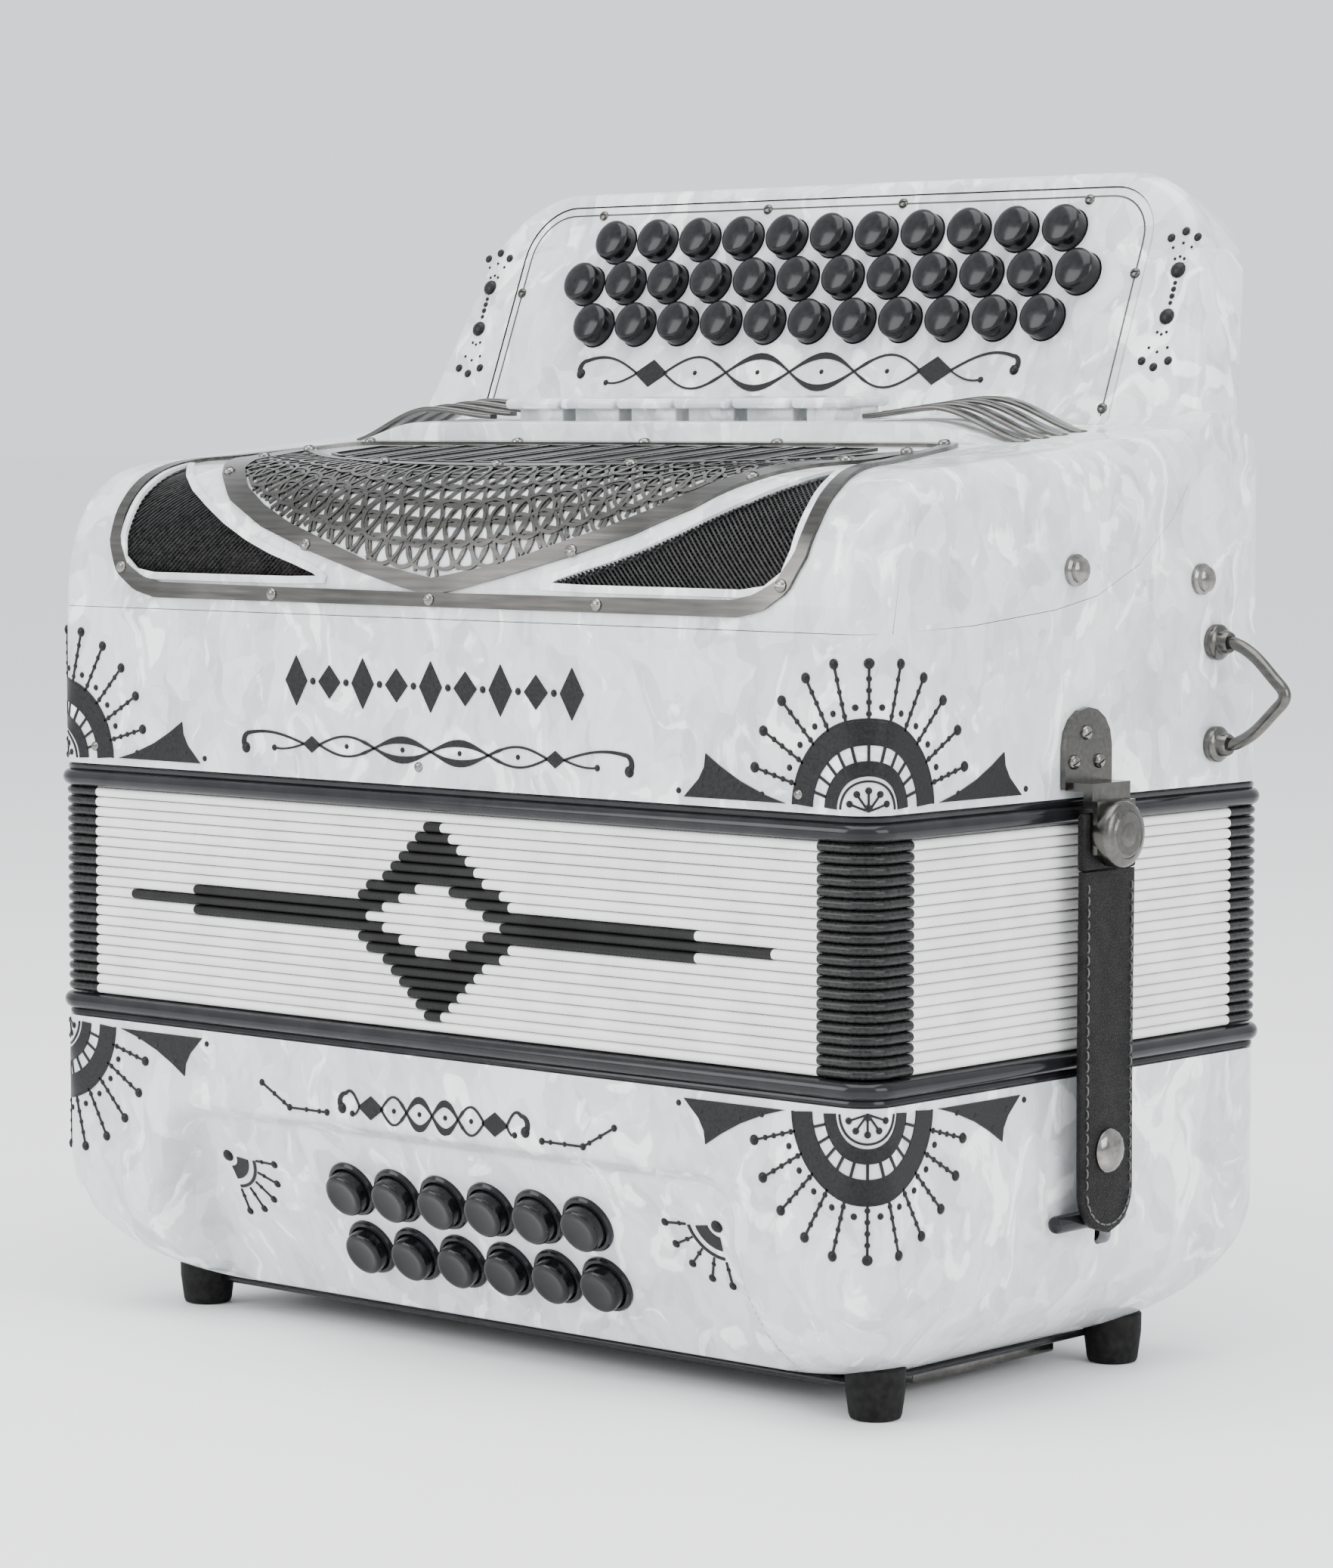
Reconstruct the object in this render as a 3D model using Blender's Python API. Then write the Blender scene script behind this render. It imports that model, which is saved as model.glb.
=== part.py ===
"""Three-row diatonic button accordion standing on its bass end, as an assembly of separate parts.

Frame: +Z up, decorated front toward -Y, air lever end toward +X, origin on the floor under the middle of
the whole outline. Lists of points are in millimetres, with y = 0 in the middle of the bellows; make_object()
scales every mesh to metres and moves it to the origin.
"""

import math

import bmesh
import bpy
from mathutils import Matrix, Vector

# ---------------------------------------------------------------- driving dimensions (millimetres)
MM = 0.001
GAP = 0.3                       # clearance between neighbouring pieces

CASE_HALF_W = 165.0             # both casings, along X
CASE_HALF_D = 93.5              # both casings, along Y
CASE_CORNER = 10.0              # vertical corner radius of casings
WALL = 4.0

PLATE_Z = (7.7, 9.7)            # bass end plate under the bass casing
PLATE_HALF = (132.0, 58.0)
FOOT_XY = (137.0, 56.0)
FOOT_R = (8.6, 7.4)             # top and bottom radius

BASS_Z = (10.0, 93.6)           # bass casing, floor side to bellows side
BASS_ROUND = 40.0               # radius of its lower edges
BASS_FLOOR = 6.0                # thickness under the reed chamber
BASS_MOUTH_HALF = (88.0, 38.0)  # opening in the floor, closed by the end plate
PANEL_TOP = 69.5                # top of the sloping button panel
PANEL_Y = -88.5                 # panel plane at its top
PANEL_SLOPE = 0.45              # panel runs back this much per unit of drop
PANEL_X = (-119.0, 119.0)
BASS_ROWS_S = (23.1, 43.6)      # rows measured down the panel from its top edge
BASS_PITCH = 19.3
BASS_COUNT = 6
BASS_ROW_X = 0.6
BASS_BUTTON_R = 7.0
BASS_BUTTON_RISE = 5.5
BASS_TRAVEL = 4.0

FRAME_T = 7.6                   # bellows frame height, flange plus rod
FRAME_HALF = (165.0, 93.5)
ROD_R = 2.6
ROD_OUT = -0.8                  # rod centre, outward of the flange edge
BELLOWS_Z = (101.5, 165.7)      # folds between the two frames, closed
BELLOWS_HALF = (163.5, 92.0)
FOLDS = 21
FOLD_DEPTH = 12.0
FOLD_WALL = 2.5

TREBLE_Z0 = 173.3               # treble casing, bellows side
FACE_Y = 84.5                   # keyboard plane: y at FACE_Z
FACE_Z = 336.0
FACE_SLOPE = 0.40               # dy per dz
FACE_RUN = math.hypot(1.0, FACE_SLOPE)
SLAB_T = 27.0                   # keyboard slab, across its plane
SLAB_S = -63.0                  # its lower end, inside the casing
SLAB_HALF = 158.0               # half width at the lower end
SLAB_CORNER = (112.0, -14.0, 36.0)            # centre and radius of its upper corners, on the plane
LEVER_TOP_S = 10.5              # the lever space clears the top row of buttons
LEDGE_S = -57.0                 # top of the casing behind the slab, square to the keyboard plane
SEAM = [(-93.5, 222.2), (-49.0, 223.4), (-11.3, 226.7), (8.3, 230.2), (28.3, 238.6),
        (44.5, 251.5), (52.7, 262.2), (57.8, 277.0)]
COVER_FRONT = [(-93.3, 222.6), (-92.8, 232.0), (-91.2, 241.0), (-87.6, 250.0), (-81.5, 258.0),
               (-73.0, 263.6), (-62.0, 266.6), (-45.0, 268.0), (2.0, 272.6)]
BOARD = [(4.0, 279.4), (53.0, 281.6)]         # raised register board, front and rear top edge
BOARD_HALF = (98.0, 140.0)                    # flat half-length and half-length at deck level
COVER_WALL = 3.0

PLATE_FACE_HALF = 128.5         # removable keyboard plate
PLATE_FACE_S = (-62.0, 15.5)
FACE_PLATE_T = 2.8
TREBLE_PITCH = 18.35
TREBLE_ROWS = ((11, 1.7), (12, -12.9), (11, -27.6))   # count and height on the plate
TREBLE_ROW_X = 4.6
TREBLE_BUTTON_R = 6.8
TREBLE_BUTTON_RISE = 6.5
TREBLE_TRAVEL = 3.0
SIDES = 24                      # segments of round pieces

GRILLE_HALF = 137.0
GRILLE_T = 1.2
WINDOW = [(-124.0, 10.0), (-60.0, 10.0), (-103.0, 58.0), (-118.0, 66.0), (-129.0, 66.0), (-131.0, 25.0)]

REGISTER_COUNT = 6
REGISTER_PITCH = 23.6
REGISTER_Y = (12.0, 32.0)
REGISTER_HINGE = (31.0, 284.0)                # y, z of the tabs' common hinge line

STRAP_Y = 3.0                   # centre line of strap, hanger and knob
STRAP_HALF_W = 12.5
STRAP_Z = (49.5, 153.0)
STRAP_X = (171.3, 174.3)
STRAP_HINGE = (172.8, STRAP_Y, 151.5)
SNAP_Z = 73.0                   # press stud that closes the strap on the bass casing
AIR_PIVOT = (151.0, 13.0, 53.0)               # hinge of the air valve lever, along Y


def key_point(s, n):
    """(y, z) of a point s up the keyboard plane and n out of it."""
    return FACE_Y + (FACE_SLOPE * s - n) / FACE_RUN, FACE_Z + (s + FACE_SLOPE * n) / FACE_RUN


SLAB_REAR_Y = key_point(SLAB_CORNER[1] + SLAB_CORNER[2], -SLAB_T)[0]
FRAME_FRONT_Y = -(FRAME_HALF[1] + ROD_OUT + ROD_R)
ORIGIN_Y = (SLAB_REAR_Y + FRAME_FRONT_Y) / 2  # middle of the whole outline, in drawing coordinates


# ---------------------------------------------------------------- small geometry toolkit
def clear_scene():
    """Start from an empty scene."""
    for old in list(bpy.data.objects):
        bpy.data.objects.remove(old, do_unlink=True)


def arc(cx, cy, r, a0, a1, n):
    """Points on an arc, degrees, both ends included."""
    steps = [math.radians(a0 + (a1 - a0) * i / n) for i in range(n + 1)]
    return [(cx + r * math.cos(a), cy + r * math.sin(a)) for a in steps]


def rounded_rect(hx, hy, r, n=5, cy=0.0):
    """Rounded rectangle as a counter-clockwise list."""
    pts = []
    for sx, sy, a in ((1, 1, 0), (-1, 1, 90), (-1, -1, 180), (1, -1, 270)):
        pts += arc(sx * (hx - r), cy + sy * (hy - r), r, a, a + 90, n)
    return pts


def loft(rings, closed=False):
    """Closed mesh through equal-length rings of 3-D points; closed joins last ring to first."""
    bm = bmesh.new()
    rows = [[bm.verts.new(p) for p in ring] for ring in rings]
    pairs = list(zip(rows, rows[1:] + rows[:1])) if closed else list(zip(rows, rows[1:]))
    for low, high in pairs:
        for i, v in enumerate(low):
            j = (i + 1) % len(low)
            bm.faces.new((v, low[j], high[j], high[i]))
    if not closed:
        bm.faces.new(rows[0][::-1])
        bm.faces.new(rows[-1])
    bmesh.ops.recalc_face_normals(bm, faces=bm.faces)
    return bm


def prism(outline, axis, lo, hi):
    """Outline in the plane across an axis ('x': (y,z), 'y': (x,z), 'z': (x,y)) extruded lo..hi."""
    place = {"x": lambda a, b, t: (t, a, b), "y": lambda a, b, t: (a, t, b), "z": lambda a, b, t: (a, b, t)}
    put = place[axis]
    return loft([[put(a, b, t) for a, b in outline] for t in (lo, hi)])


def block(lo, hi):
    """Box from corner lo to corner hi."""
    side = [(lo[1], lo[2]), (hi[1], lo[2]), (hi[1], hi[2]), (lo[1], hi[2])]
    return prism(side, "x", lo[0], hi[0])


def round_bar(base, tip, radii, sides=SIDES):
    """Turned piece along base->tip; radii lists (fraction along, radius)."""
    base, tip = Vector(base), Vector(tip)
    axis = tip - base
    turn = axis.to_track_quat("Z", "Y").to_matrix()
    angles = [2 * math.pi * i / sides for i in range(sides)]
    ring = [Vector((math.cos(a), math.sin(a), 0)) for a in angles]
    return loft([[base + axis * t + turn @ (p * r) for p in ring] for t, r in radii])


def tube(path, radius, sides=12):
    """Round tube through a list of points."""
    path = [Vector(p) for p in path]
    rings = []
    for i, p in enumerate(path):
        ahead = (path[min(i + 1, len(path) - 1)] - path[max(i - 1, 0)]).normalized()
        side = ahead.cross(Vector((0, 1, 0.01))).normalized()
        up = ahead.cross(side)
        angles = [2 * math.pi * k / sides for k in range(sides)]
        rings.append([p + (side * math.cos(a) + up * math.sin(a)) * radius for a in angles])
    return loft(rings)


def merged(*pieces):
    """Several loose pieces as one cutter mesh."""
    out = bmesh.new()
    for bm in pieces:
        mesh = bpy.data.meshes.new("piece")
        bm.to_mesh(mesh)
        bm.free()
        out.from_mesh(mesh)
        bpy.data.meshes.remove(mesh)
    return out


def moved(bm, matrix):
    bm.transform(matrix)
    return bm


def temporary(bm):
    mesh = bpy.data.meshes.new("tool")
    bm.to_mesh(mesh)
    bm.free()
    tool = bpy.data.objects.new("tool", mesh)
    bpy.context.collection.objects.link(tool)
    return tool


def combine(bm, *steps):
    """Apply ('UNION' | 'DIFFERENCE' | 'INTERSECT', bmesh) steps and return the resulting bmesh."""
    base = temporary(bm)
    tools = []
    for kind, other in steps:
        tool = temporary(other)
        tools.append(tool)
        mod = base.modifiers.new(kind.title(), "BOOLEAN")
        mod.operation, mod.solver, mod.object = kind, "EXACT", tool
    bpy.context.view_layer.update()
    done = bpy.data.meshes.new_from_object(base.evaluated_get(bpy.context.evaluated_depsgraph_get()))
    out = bmesh.new()
    out.from_mesh(done)
    for obj in [base] + tools:
        bpy.data.objects.remove(obj, do_unlink=True)
    bmesh.ops.remove_doubles(out, verts=out.verts, dist=0.002)
    bmesh.ops.dissolve_degenerate(out, edges=out.edges, dist=0.002)
    return out


def material(name, colour, metallic, roughness):
    mat = bpy.data.materials.new(name)
    mat.use_nodes = True
    shader = mat.node_tree.nodes["Principled BSDF"]
    shader.inputs["Base Color"].default_value = (*colour, 1.0)
    shader.inputs["Metallic"].default_value = metallic
    shader.inputs["Roughness"].default_value = roughness
    return mat


FINISHES = {
    "pearl": ((0.86, 0.88, 0.88), 0.0, 0.25),
    "black_plastic": ((0.015, 0.015, 0.016), 0.0, 0.18),
    "nickel": ((0.30, 0.29, 0.28), 1.0, 0.22),
    "leather": ((0.02, 0.02, 0.021), 0.0, 0.55),
    "rubber": ((0.03, 0.03, 0.03), 0.0, 0.7),
    "folds": ((0.84, 0.84, 0.82), 0.0, 0.5),
    "wood": ((0.42, 0.30, 0.18), 0.0, 0.6),
}


def make_object(name, bm, finish, pivot=(0.0, 0.0, 0.0)):
    """One named part with its own material, in metres, its origin at pivot (millimetres)."""
    bm.transform(Matrix.Scale(MM, 4) @ Matrix.Translation(-Vector(pivot)))
    bmesh.ops.triangulate(bm, faces=[f for f in bm.faces if len(f.verts) > 4])
    bmesh.ops.recalc_face_normals(bm, faces=bm.faces)
    mesh = bpy.data.meshes.new(name)
    bm.to_mesh(mesh)
    bm.free()
    mesh.materials.append(material(name + "_finish", *FINISHES[finish]))
    obj = bpy.data.objects.new(name, mesh)
    obj.location = (Vector(pivot) - Vector((0, ORIGIN_Y, 0))) * MM
    bpy.context.collection.objects.link(obj)
    return obj


# ---------------------------------------------------------------- sloping planes
def face_frame(y0, z0, slope, outward):
    """Matrix with x along X, y up the slope, z out of the face; origin on the plane."""
    up = Vector((0, slope, 1)).normalized()
    out = Vector((1, 0, 0)).cross(up) * outward
    m = Matrix.Identity(4)
    for i, axis in enumerate((Vector((1, 0, 0)), up, out)):
        m.col[i][:3] = axis
    m.translation = (0, y0, z0)
    return m


KEY_FACE = face_frame(FACE_Y, FACE_Z, FACE_SLOPE, 1)
BASS_FACE = face_frame(PANEL_Y, PANEL_TOP, -PANEL_SLOPE, 1)


def bass_inset(z):
    """How far the rounded lower edge stands in at height z."""
    rise = max(0.0, BASS_Z[0] + BASS_ROUND - z)
    return BASS_ROUND - math.sqrt(max(0.0, BASS_ROUND ** 2 - rise ** 2))


def panel_y(z):
    """Depth of the sloping button panel at height z."""
    return PANEL_Y + (PANEL_TOP - z) * PANEL_SLOPE


def bass_ring(z, wall=0.0):
    """Cross-section of the bass casing at height z, without the button panel."""
    inset = bass_inset(z)
    half_w, half_d = CASE_HALF_W - inset - wall, CASE_HALF_D - inset - wall
    corner = max(2.0, CASE_CORNER + 0.5 * inset - wall)
    return [(x, y, z) for x, y in rounded_rect(half_w, half_d, corner)]


def panel_wedge(wall=0.0):
    """Block in front of the button panel; wall sets it back for the inside of the shell."""
    top, low = PANEL_TOP + wall, BASS_Z[0] - 5.0
    front = -CASE_HALF_D - 5.0
    outline = [(front, top), (panel_y(top) + wall, top), (panel_y(low) + wall, low), (front, low)]
    return prism(outline, "x", PANEL_X[0] - wall, PANEL_X[1] + wall)


# ---------------------------------------------------------------- bass side
def build_bass_end_plate():
    plate = prism(rounded_rect(*PLATE_HALF, 8.0, 4), "z", *PLATE_Z)
    feet = []
    for sx in (-1, 1):
        for sy in (-1, 1):
            x, y = sx * FOOT_XY[0], sy * FOOT_XY[1]
            profile = [(0, FOOT_R[1] - 0.8), (0.12, FOOT_R[1]), (1, FOOT_R[0])]
            feet.append(("UNION", round_bar((x, y, 0), (x, y, PLATE_Z[1] - 0.2), profile)))
    make_object("bass_end_plate", combine(plate, *feet), "rubber")


def build_bass_casing():
    """Shell with rounded lower edges, a sloping button panel and an open top toward the bellows."""
    heights = [BASS_Z[0], 10.6, 12.5, 16.0, 22.0, 30.0, 40.0, 50.0, BASS_Z[1]]
    floor_z = BASS_Z[0] + BASS_FLOOR
    outer = loft([bass_ring(z) for z in heights])
    outer = combine(outer, ("DIFFERENCE", panel_wedge()))
    inner = loft([bass_ring(z, WALL) for z in (floor_z, 22.0, 30.0, 40.0, 50.0, BASS_Z[1] + 5.0)])
    inner = combine(inner, ("DIFFERENCE", panel_wedge(WALL)))
    mouth = prism(rounded_rect(*BASS_MOUTH_HALF, 12.0), "z", BASS_Z[0] - 5.0, floor_z + 2.0)
    holes = []
    for s in BASS_ROWS_S:
        for x in row_positions(BASS_COUNT, BASS_PITCH, BASS_ROW_X):
            hole = round_bar((x, -s, -14), (x, -s, 8), [(0, BASS_BUTTON_R + 0.4), (1, BASS_BUTTON_R + 0.4)])
            holes.append(moved(hole, BASS_FACE))
    slot = prism(rounded_rect(4.0, 8.0, 2.0, 3), "x", 158, 170)
    slot = moved(slot, Matrix.Translation((0, AIR_PIVOT[1], AIR_PIVOT[2] - 1.0)))
    posts = []
    for side in (-1, 1):
        inside, outside = side * (CASE_HALF_W - 1), side * (STRAP_X[0] - GAP)
        post = round_bar((inside, STRAP_Y, SNAP_Z), (outside, STRAP_Y, SNAP_Z), [(0, 5.0), (1, 5.0)])
        posts.append(("UNION", post))
    shell = combine(outer, ("DIFFERENCE", inner), ("DIFFERENCE", mouth), ("DIFFERENCE", merged(*holes)),
                    ("DIFFERENCE", slot), *posts)
    make_object("bass_casing", shell, "pearl")


def row_positions(count, pitch, centre):
    return [centre + (i - (count - 1) / 2) * pitch for i in range(count)]


def build_bass_buttons():
    """Each row of six is tied together behind the panel by its action bar."""
    for name, s in zip(("bass_buttons_upper", "bass_buttons_lower"), BASS_ROWS_S):
        half = BASS_PITCH * BASS_COUNT / 2
        depth = WALL + BASS_TRAVEL + 1.5
        bar = prism([(-half + 0.6, -s - 5.0), (half + 0.6, -s - 5.0), (half + 0.6, -s + 5.0), (-half + 0.6, -s + 5.0)],
                    "z", -depth - 3, -depth + 2.6)
        r = BASS_BUTTON_R
        profile = [(0, r), (0.86, r), (0.94, r - 0.5), (1, r - 2.2)]
        pegs = [("UNION", round_bar((x, -s, -depth), (x, -s, BASS_BUTTON_RISE), profile))
                for x in row_positions(BASS_COUNT, BASS_PITCH, BASS_ROW_X)]
        pivot = BASS_FACE @ Vector((0, -s, 0))
        make_object(name, moved(combine(bar, *pegs), BASS_FACE), "black_plastic", pivot)


def build_bellows_frame(name, z0, flip):
    """Flange against the casing and a round rod on the bellows side."""
    hx, hy = FRAME_HALF
    rod = [(ROD_OUT + ROD_R * math.cos(a), 4.7 + ROD_R * math.sin(a)) for a in
           [math.radians(d) for d in (-50, -20, 10, 40, 70, 90)]]
    section = [(-14.0, 0.3), (0.0, 0.3), (0.0, 2.3)] + rod + [(-14.0, FRAME_T - 0.3)]
    rings = []
    for off, h in section:
        z = z0 + (FRAME_T - h if flip else h)
        rings.append([(x, y, z) for x, y in rounded_rect(hx + off, hy + off, max(1.5, CASE_CORNER + off))])
    make_object(name, loft(rings, closed=True), "black_plastic")


def build_bellows():
    """Zigzag wall of constant thickness, open at both ends."""
    z0, z1 = BELLOWS_Z
    hx, hy = BELLOWS_HALF

    def ring(off, z):
        return [(x, y, z) for x, y in rounded_rect(hx + off, hy + off, max(1.5, CASE_CORNER + off), 3)]

    steps = 2 * FOLDS
    levels = [(-FOLD_DEPTH if i % 2 == 0 else 0.0, z0 + (z1 - z0) * i / steps) for i in range(steps + 1)]
    outer = [ring(off, z) for off, z in levels]
    inner = [ring(off - FOLD_WALL, z) for off, z in reversed(levels)]
    make_object("bellows", loft(outer + inner, closed=True), "folds")


# ---------------------------------------------------------------- treble side
def both_sides(right):
    """Right half of an outline, from bottom to top, closed with its mirror image."""
    return right + [(-x, v) for x, v in reversed(right)]


def build_treble_casing():
    """Box that carries the cover, with the leaning keyboard slab on its rear half; hollow for the action."""
    ledge_drop = (CASE_HALF_D - key_point(LEDGE_S, 0)[0]) * FACE_SLOPE
    ledge = [key_point(LEDGE_S, -1.5), (CASE_HALF_D, key_point(LEDGE_S, 0)[1] - ledge_drop)]
    side = [(-CASE_HALF_D, TREBLE_Z0)] + SEAM + ledge + [(CASE_HALF_D, TREBLE_Z0)]
    box = prism(side, "x", -CASE_HALF_W, CASE_HALF_W)
    plan = prism(rounded_rect(CASE_HALF_W, CASE_HALF_D, CASE_CORNER), "z", TREBLE_Z0 - 20, FACE_Z)
    x, s, r = SLAB_CORNER
    slab = prism(both_sides([(SLAB_HALF, SLAB_S)] + arc(x, s, r, 12, 90, 8)), "z", -SLAB_T, 0)
    front, rear = -CASE_HALF_D + WALL, CASE_HALF_D - WALL
    air = prism([(front, 160), (front, 300), (50, 300), (50, 262), (rear, 262), (rear, 160)], "x",
                -CASE_HALF_W + WALL, CASE_HALF_W - WALL)
    levers = prism(both_sides([(122, -58), (122, LEVER_TOP_S)]), "z", -SLAB_T + 3.5, 1)
    channel = prism([(66, 250), (66, 285), (84, 278), (84, 250)], "x", -118, 118)
    seat = prism(face_plate_outline(GAP), "z", -FACE_PLATE_T - GAP, 20)
    body = combine(box, ("INTERSECT", plan), ("UNION", moved(slab, KEY_FACE)), ("DIFFERENCE", air),
                   ("DIFFERENCE", moved(levers, KEY_FACE)), ("DIFFERENCE", channel),
                   ("DIFFERENCE", moved(seat, KEY_FACE)))
    make_object("treble_casing", body, "pearl")


def face_plate_outline(grow=0.0):
    """Removable keyboard plate on its plane, enlarged by grow for its seat."""
    s0, s1 = PLATE_FACE_S
    w = PLATE_FACE_HALF + grow
    top = s1 + grow
    return both_sides([(w, s0 - grow)] + arc(w - 18, top - 18, 18.0, 0, 90, 6))


def treble_button_places():
    return [(x, s) for count, s in TREBLE_ROWS for x in row_positions(count, TREBLE_PITCH, TREBLE_ROW_X)]


def build_fingerboard():
    plate = prism(face_plate_outline(), "z", -FACE_PLATE_T, 0)
    holes = [round_bar((x, s, -9), (x, s, 9), [(0, TREBLE_BUTTON_R + 0.4), (1, TREBLE_BUTTON_R + 0.4)], 20)
             for x, s in treble_button_places()]
    make_object("fingerboard", moved(combine(plate, ("DIFFERENCE", merged(*holes))), KEY_FACE), "pearl")


def build_treble_buttons():
    r = TREBLE_BUTTON_R
    profile = [(0, r), (0.72, r), (0.88, r - 0.9), (0.97, r - 2.8), (1, r - 4.6)]
    for i, (x, s) in enumerate(treble_button_places(), 1):
        cap = round_bar((x, s, -FACE_PLATE_T + 0.3), (x, s, TREBLE_BUTTON_RISE), profile, 16)
        pivot = KEY_FACE @ Vector((x, s, 0))
        make_object(f"treble_button_{i:02d}", moved(cap, KEY_FACE), "black_plastic", pivot)


def cover_profile(shift):
    """Front and deck line moved inward by shift, from the seam up to the register board."""
    pts = COVER_FRONT
    out = []
    for i, (y, z) in enumerate(pts):
        ahead = Vector(pts[min(i + 1, len(pts) - 1)]) - Vector(pts[max(i - 1, 0)])
        n = Vector((ahead.y, -ahead.x)).normalized()
        out.append((y + n.x * shift, z + n.y * shift))
    return out


def window_prism(mirror):
    """One sound window, cut square to the rounded front edge of the cover."""
    tilt = Matrix.Rotation(math.radians(45), 4, "X")
    pts = [(mirror * x, t) for x, t in WINDOW]
    return moved(prism(pts, "z", -60, 60), Matrix.Translation((0, -93.0, 232.0)) @ tilt)


def build_grille_cover():
    seam = [(y, z + GAP) for y, z in reversed(SEAM)]
    deck = [(4.0, 272.9), (57.0, 278.2)]
    body = prism(COVER_FRONT + deck + seam[:-1], "x", -CASE_HALF_W, CASE_HALF_W)
    depth = 100.0
    plan = prism(rounded_rect(CASE_HALF_W, depth, CASE_CORNER, 5, depth - CASE_HALF_D), "z", 150, 400)
    board = [(-BOARD_HALF[1], 0), (BOARD_HALF[1], 0), (BOARD_HALF[0], 1), (-BOARD_HALF[0], 1)]
    low, high = (4.0, 52.0), BOARD
    ramp = loft([[(x, y, (270.0 + 0.1 * y) + t * (h - 270.0 - 0.1 * y)) for x, t in board]
                 for y, h in ((low[0], high[0][1]), (low[1], high[1][1]))])
    hollow = cover_profile(COVER_WALL) + [(4.0, 269.6), (50.0, 273.2), (50.0, 200.0), (-90.0, 200.0)]
    hollow = prism(hollow, "x", -CASE_HALF_W + WALL, CASE_HALF_W - WALL)
    slot = prism([(-73.0, 14.0), (73.0, 14.0), (73.0, 31.0), (-73.0, 31.0)], "z", 260, 300)
    body = combine(body, ("INTERSECT", plan), ("UNION", ramp), ("DIFFERENCE", hollow), ("DIFFERENCE", slot),
                   ("DIFFERENCE", window_prism(1)), ("DIFFERENCE", window_prism(-1)))
    make_object("grille_cover", body, "pearl")


def build_grille_fretwork():
    """Thin metal plate lying on the cover, following its rounded front edge."""
    inner = [(y, z) for y, z in cover_profile(-GAP)][1:]
    outer = [(y, z) for y, z in cover_profile(-GAP - GRILLE_T)][1:]
    band = prism(inner + outer[::-1], "x", -GRILLE_HALF, GRILLE_HALF)
    plate = combine(band, ("DIFFERENCE", window_prism(1)), ("DIFFERENCE", window_prism(-1)))
    make_object("grille_fretwork", plate, "nickel")


def build_registers():
    """Six rocking tabs in one slot of the register board, hinged along their rear edge."""
    y0, y1 = REGISTER_Y
    for i, x in enumerate(row_positions(REGISTER_COUNT, REGISTER_PITCH, 0.0), 1):
        half = REGISTER_PITCH / 2 - 0.5
        cap = prism([(y0, 283.4), (y1, 284.4), (y1, 287.6), (y0, 287.0)], "x", x - half, x + half)
        stem = block((x - half + 2, 17.0, 276.0), (x + half - 2, 29.0, 285.0))
        make_object(f"register_switch_{i}", combine(cap, ("UNION", stem)), "pearl", (x, *REGISTER_HINGE))


def build_treble_action():
    """Soundboard bar with pallets, seen through the sound windows."""
    bar = prism([(-70.0, 226.0), (40.0, 226.0), (40.0, 231.0), (-70.0, 231.0)], "x", -150, 150)
    pads = [prism([(-66.0, 229.0), (-46.0, 229.0), (-46.0, 239.0), (-66.0, 239.0)], "x", x - 9, x + 9)
            for x in row_positions(12, 24.0, 0.0)]
    make_object("treble_action", combine(bar, *[("UNION", p) for p in pads]), "wood")


# ---------------------------------------------------------------- hardware on both ends
def mirrored(bm, side):
    return bm if side > 0 else moved(bm, Matrix.Scale(-1, 4, (1, 0, 0)))


def build_strap_hanger(side, name):
    """Screwed plate that steps out over the frame rod and ends in a round knob."""
    y = STRAP_Y - 1.0
    top = [(y - 11.0, 176.0), (y + 11.0, 176.0), (y + 11.0, 188.0)] + arc(y, 188.0, 11.0, 0, 180, 8)[1:] + []
    plate = prism(top, "x", CASE_HALF_W + GAP, 167.0)
    step = combine(block((165.6, y - 9.0, 171.0), (175.0, y + 9.0, 178.0)),
                   ("DIFFERENCE", block((150.0, y - 20.0, 150.0), (171.8, y + 20.0, 175.6))))
    tongue = block((175.1, y - 9.0, 158.0), (176.8, y + 9.0, 172.0))
    knob = round_bar((174.7, y, 163.5), (181.2, y, 163.5), [(0, 8.0), (0.5, 9.4), (0.75, 9.4), (1, 6.0)])
    post = block((173.0, y - 9.0, 170.9), (176.8, y + 9.0, 173.0))
    body = combine(plate, ("UNION", step), ("UNION", post), ("UNION", tongue), ("UNION", knob))
    make_object(name, mirrored(body, side), "nickel")


def build_bellows_strap(side, name):
    """Leather strap hanging from the knob, closing on the bass casing."""
    z0, z1 = STRAP_Z
    w = STRAP_HALF_W
    outline = arc(STRAP_Y, z0 + w, w, 180, 360, 8) + [(STRAP_Y + w, z1), (STRAP_Y - w, z1)]
    band = prism(outline, "x", *STRAP_X)
    cap = round_bar((STRAP_X[0] + 1, STRAP_Y, SNAP_Z), (176.8, STRAP_Y, SNAP_Z),
                    [(0, 6.2), (0.75, 6.2), (1, 3.5)])
    make_object(name, mirrored(combine(band, ("UNION", cap)), side), "leather",
                (side * STRAP_HINGE[0], *STRAP_HINGE[1:]))


def build_shoulder_bail(side, name):
    """Wire loop between two round flanges."""
    y, z0, z1 = 65.5, 185.3, 215.2
    mid = (z0 + z1) / 2
    bend = [(166.5, z0), (172.0, z0), (176.0, z0 + 1.5), (186.0, mid - 5.5), (189.5, mid - 2.2)]
    back = [(x, 2 * mid - z) for x, z in reversed(bend)]
    path = [(x, y, z) for x, z in bend + [(190.2, mid)] + back]
    wire = tube(path, 1.9)
    radii = [(0, 5.2), (0.45, 5.2), (0.6, 3.4), (1, 3.0)]
    flanges = [("UNION", round_bar((CASE_HALF_W + GAP, y, z), (171.0, y, z), radii))
               for z in (z0, z1)]
    make_object(name, mirrored(combine(wire, *flanges), side), "nickel")


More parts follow.
